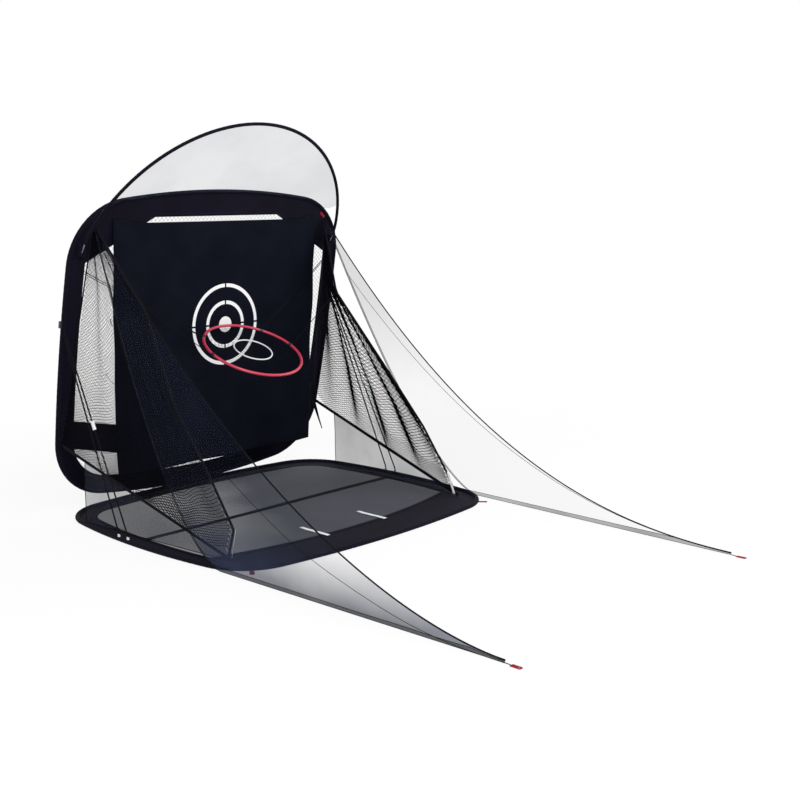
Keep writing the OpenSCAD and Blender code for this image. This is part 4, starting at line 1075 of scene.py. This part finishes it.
roofSettings = dict(halfWidth=1.122, height=0.996, foot=0.650, lean=math.radians(32.2), sleeve=0.012, start=6,
                    steps=140, seam=0.0014, netRows=20, netShare=0.97, sag=0.060, netOff=0.0165, hem=0.0022)
topRadius = ((roofSettings["halfWidth"] - roofSettings["foot"]) ** 2 + roofSettings["height"] ** 2
             - roofSettings["foot"] ** 2) / (2 * (roofSettings["height"] - roofSettings["foot"]))
meetTurn = math.atan2(topRadius - roofSettings["height"], roofSettings["halfWidth"] - roofSettings["foot"])


def roofHoop(turn, inset):
    # the hoop's own plane: across it and up its slope, for turns from 0 at the right foot to pi at the left
    s = roofSettings
    a = np.where(turn > math.pi / 2, math.pi - turn, turn)
    low = a <= meetTurn
    x = np.where(low, s["halfWidth"] - s["foot"] + (s["foot"] - inset) * np.cos(a), (topRadius - inset) * np.cos(a))
    up = np.where(low, (s["foot"] - inset) * np.sin(a), s["height"] - topRadius + (topRadius - inset) * np.sin(a))
    return np.where(turn > math.pi / 2, -x, x), up


def onRoof(x, up):
    return leanPoint(roofFeet, roofSettings["lean"], x, up, 0.0)


def makeRoofSleeve(s):
    turn = np.linspace(math.radians(s["start"]), math.pi - math.radians(s["start"]), s["steps"])
    line, seamLine = (onRoof(*roofHoop(turn, inset)) for inset in (0, s["sleeve"] * 0.98))
    radius = s["sleeve"] * (0.97 - puckers(lengthsAlong(line), 150, 11))
    sleeve = tubes("roofSleeve", [line], radius, borderCloth, sides=14)
    seam = tubes("roofSeam", [seamLine], s["seam"], blackCord, sides=5)
    settle([sleeve, seam], "roof", "black_cloth", "roof_sleeve")


def upperEdgeS(x):
    u = uprightFrame
    cx, cy = cornerCentre(u)
    endR = archRadius(u["endBow"], u["radius"], cx)
    turn = math.atan2(cy - u["depth"] / 2 + endR, cx)
    r = u["radius"] - u["sleeve"]
    corner = cy + np.sqrt(np.maximum(0, r ** 2 - (np.abs(x) - cx) ** 2))
    middle = u["depth"] / 2 - endR + np.sqrt((endR - u["sleeve"]) ** 2 - x ** 2)
    return uprightMid + np.where(np.abs(x) > cx + r * math.cos(turn), corner, middle)


def makeRoofNet(s):
    start = meetTurn + (math.pi / 2 - meetTurn) / 9
    x, up = roofHoop(np.linspace(start, math.pi - start, 90), s["sleeve"])
    top = onRoof(x, up)
    lowX = x * s["netShare"]
    low = uprightPoint(lowX, upperEdgeS(lowX), s["netOff"])
    v = np.linspace(0, 1, s["netRows"])[:, None]
    points = between(low, top, v)
    points[..., 2] -= s["sag"] * v * (1 - v) * (1 + 0.2 * waves(x * 4, v * 3, 8.4))
    net = clothGrid("roofNet", points, roofFilm)
    hem = tubes("roofNetHem", [points[0]], s["hem"], blackCord, sides=6)
    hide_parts("roof_net")
    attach(hem, "upright")
    tuple(points[1, 45])
    tuple(points[-2, 45])
    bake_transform(net)


makeRoofSleeve(roofSettings)
makeRoofNet(roofSettings)
print("roof and bands made")

# ---- chipping ring ----

ringSettings = dict(radius=0.355, tube=0.010, tilt=math.radians(24), reach=0.500, spokes=12, circles=14,
                    drop=0.0062, sag=0.004, meshRadius=0.0009, cordOut=0.0149, cordEnd=(0.866, 0.328, 1.456),
                    rearTurns=(40.7, 42.3), rearX=1.118, rearS=(1.690, 1.706), rearOff=0.0048, cord=0.0025, keep=0.05)
ringMiddle = ringLine - ringSettings["reach"] * np.array([0, *direction(ringSettings["tilt"])])


def ringPoint(turn, radius, up=0.0):
    tilt = ringSettings["tilt"]
    x, along = radius * np.cos(turn), radius * np.sin(turn)
    return joined(ringMiddle[0] + x, ringMiddle[1] + along * math.cos(tilt) - up * math.sin(tilt),
                  ringMiddle[2] + along * math.sin(tilt) + up * math.cos(tilt))


def makeRingNet(s):
    inner = s["radius"] - s["tube"] * 0.8
    ways = [(2 * math.pi * k / s["spokes"], np.linspace(0.006, inner, 20)) for k in range(s["spokes"])]
    ways += [(np.linspace(0, 2 * math.pi, 61), r) for r in np.linspace(0.03, inner, s["circles"])]
    lines = [ringPoint(turn, r, -s["drop"] - s["sag"] * arch(r / inner)) for turn, r in ways]
    settle([tubes("ringNet", lines, s["meshRadius"], netCord, sides=4)], "ring", "grey_net", "ring_net")


def makeRingCords(s):
    fronts, rears = [], []
    for side, word in words.items():
        start = ringPoint(0 if side > 0 else math.pi, s["radius"] + s["cordOut"])
        cord = tautCord("ringCord" + word, straight(start, placed(np.array(s["cordEnd"]), side), 15), s["cord"])
        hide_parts("ring_cords_" + word.lower())
        fronts.append(cord)
        for k in (0, 1):
            start = ringPoint(math.radians(s["rearTurns"][k]), s["radius"] + s["cordOut"])
            line = straight(start, uprightPoint(s["rearX"], s["rearS"][k], s["rearOff"]), 15) * [side, 1, 1]
            rears.append(tautCord("ringRearCord" + word + str(k + 1), line, s["cord"]))
    for piece in settle(fronts, "ring", "black_webbing") + settle(rears, "ring", "black_webbing", "ring_cords_rear"):
        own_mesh(piece)


makeRingNet(ringSettings)
makeRingCords(ringSettings)
print("ring made")

# ---- support cords, cleats and adjusters ----

supportSettings = dict(radius=0.005, footY=(0.070, 0.170), footZ=0.0511, cleatS=(1.335, 1.315),
                       cleatOff=(0.027, 0.023))


def makeSupportCords(side, word, s):
    low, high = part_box("cord_cleat_" + word.lower())
    topX, footX = (abs(low.x) + abs(high.x)) / 2, groundFrame["width"] / 2 - groundFrame["sleeve"]
    cords = []
    for k in (0, 1):
        top = uprightPoint(topX, s["cleatS"][k], s["cleatOff"][k])
        line = straight(top, (footX, s["footY"][k] + middleY, s["footZ"]), 20) * [side, 1, 1]
        cords.append(tautCord("supportCord" + word + str(k + 1), line, s["radius"]))
    settle(cords, word.lower() + "_cords", "black_webbing", "support_cords_" + word.lower())


for side, word in words.items():
    makeSupportCords(side, word, supportSettings)

cadFinishes = ((rodSteel, "ground_rod", "upright_rod", "roof_rod"), (redPlastic, "ring_rim"),
               (whitePlastic, "ring_inner", "cord_adjuster_left", "cord_adjuster_right"),
               (blackPlastic, "roof_end_caps", "ring_clips", "cord_cleat_left", "cord_cleat_right"),
               (borderCloth, "roof_pocket_left", "roof_pocket_right"))
for material, *names in cadFinishes:
    for name in names:
        nodes[name].data.materials.clear()
        nodes[name].data.materials.append(material)

# the soft pieces between the two frames have their placing baked into their meshes
for piece in groundSoft:
    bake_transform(piece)
print("cords and hardware made")

# ---- light and floor ----

lightSettings = dict(world=0.76, aim=(0, 0.8, 1.0), size=4.0)
lamps = {"keyLamp": ((-4.0, -5.0, 6.0), 410.0), "fillLamp": ((5.0, -3.0, 4.0), 150.0)}
floorSettings = dict(half=60, level=-0.001, grey=0.8,
                     fade={"From Min": 2.5, "From Max": 6.0, "To Min": 0.88, "To Max": 1.0})


def seenWhite(tree):
    # 1 for the rays of the camera, mirrors and glass, and 0 for the others
    path = addNode(tree, "ShaderNodeLightPath").outputs
    value = path["Is Camera Ray"]
    for other in ("Is Glossy Ray", "Is Transmission Ray"):
        value = mathNode(tree, "MAXIMUM", value, path[other])
    return value


def mixInto(tree, share, first, second, output):
    mix = addNode(tree, "ShaderNodeMixShader")
    for socket, value in zip(mix.inputs, (share, first.outputs[0], second.outputs[0])):
        link(value, socket)
    link(mix.outputs[0], tree.nodes[output].inputs["Surface"])


def makeWorld(s):
    world = bpy.data.worlds.new("world")
    bpy.context.scene.world = world
    world.use_nodes = True
    tree = world.node_tree
    lit = setValues(tree.nodes["Background"], {"Color": (1, 1, 1, 1), "Strength": s["world"]})
    seen = addNode(tree, "ShaderNodeBackground", Color=(1, 1, 1, 1), Strength=1.0)
    mixInto(tree, seenWhite(tree), lit, seen, "World Output")


def makeFloor(s):
    # matte, though most of what the camera sees of it is white, and all of it far off
    material, tree, shader = newMaterial("paleFloor")
    tree.nodes.remove(shader)
    matte = addNode(tree, "ShaderNodeBsdfDiffuse", Color=(s["grey"], s["grey"], s["grey"], 1))
    white = addNode(tree, "ShaderNodeEmission", Color=(1, 1, 1, 1), Strength=1.0)
    far = addNode(tree, "ShaderNodeVectorMath", operation="LENGTH")
    link(addNode(tree, "ShaderNodeNewGeometry").outputs["Position"], far.inputs[0])
    fade = addNode(tree, "ShaderNodeMapRange", interpolation_type="SMOOTHSTEP", **s["fade"])
    link(far.outputs["Value"], fade.inputs["Value"])
    share = mathNode(tree, "MULTIPLY", seenWhite(tree), fade.outputs["Result"])
    mixInto(tree, share, matte, white, "Material Output")
    half = s["half"]
    corners = [(x, y, s["level"]) for x, y in ((-half, -half), (half, -half), (half, half), (-half, half))]
    buildMesh("floor", corners, [(0, 1, 2, 3)], material)


def makeLamp(name, place, power, s):
    data = bpy.data.lights.new(name, "AREA")
    data.energy, data.size = power, s["size"]
    lamp = newObject(name, data)
    lamp.location = place
    away = np.subtract(place, s["aim"])
    away /= np.linalg.norm(away)
    lamp.rotation_euler = (math.acos(away[2]), 0, math.atan2(away[1], away[0]) + math.pi / 2)


makeWorld(lightSettings)
makeFloor(floorSettings)
for name, (place, power) in lamps.items():
    makeLamp(name, place, power, lightSettings)
bpy.context.scene.view_settings.view_transform = "Standard"
print("light and floor made")
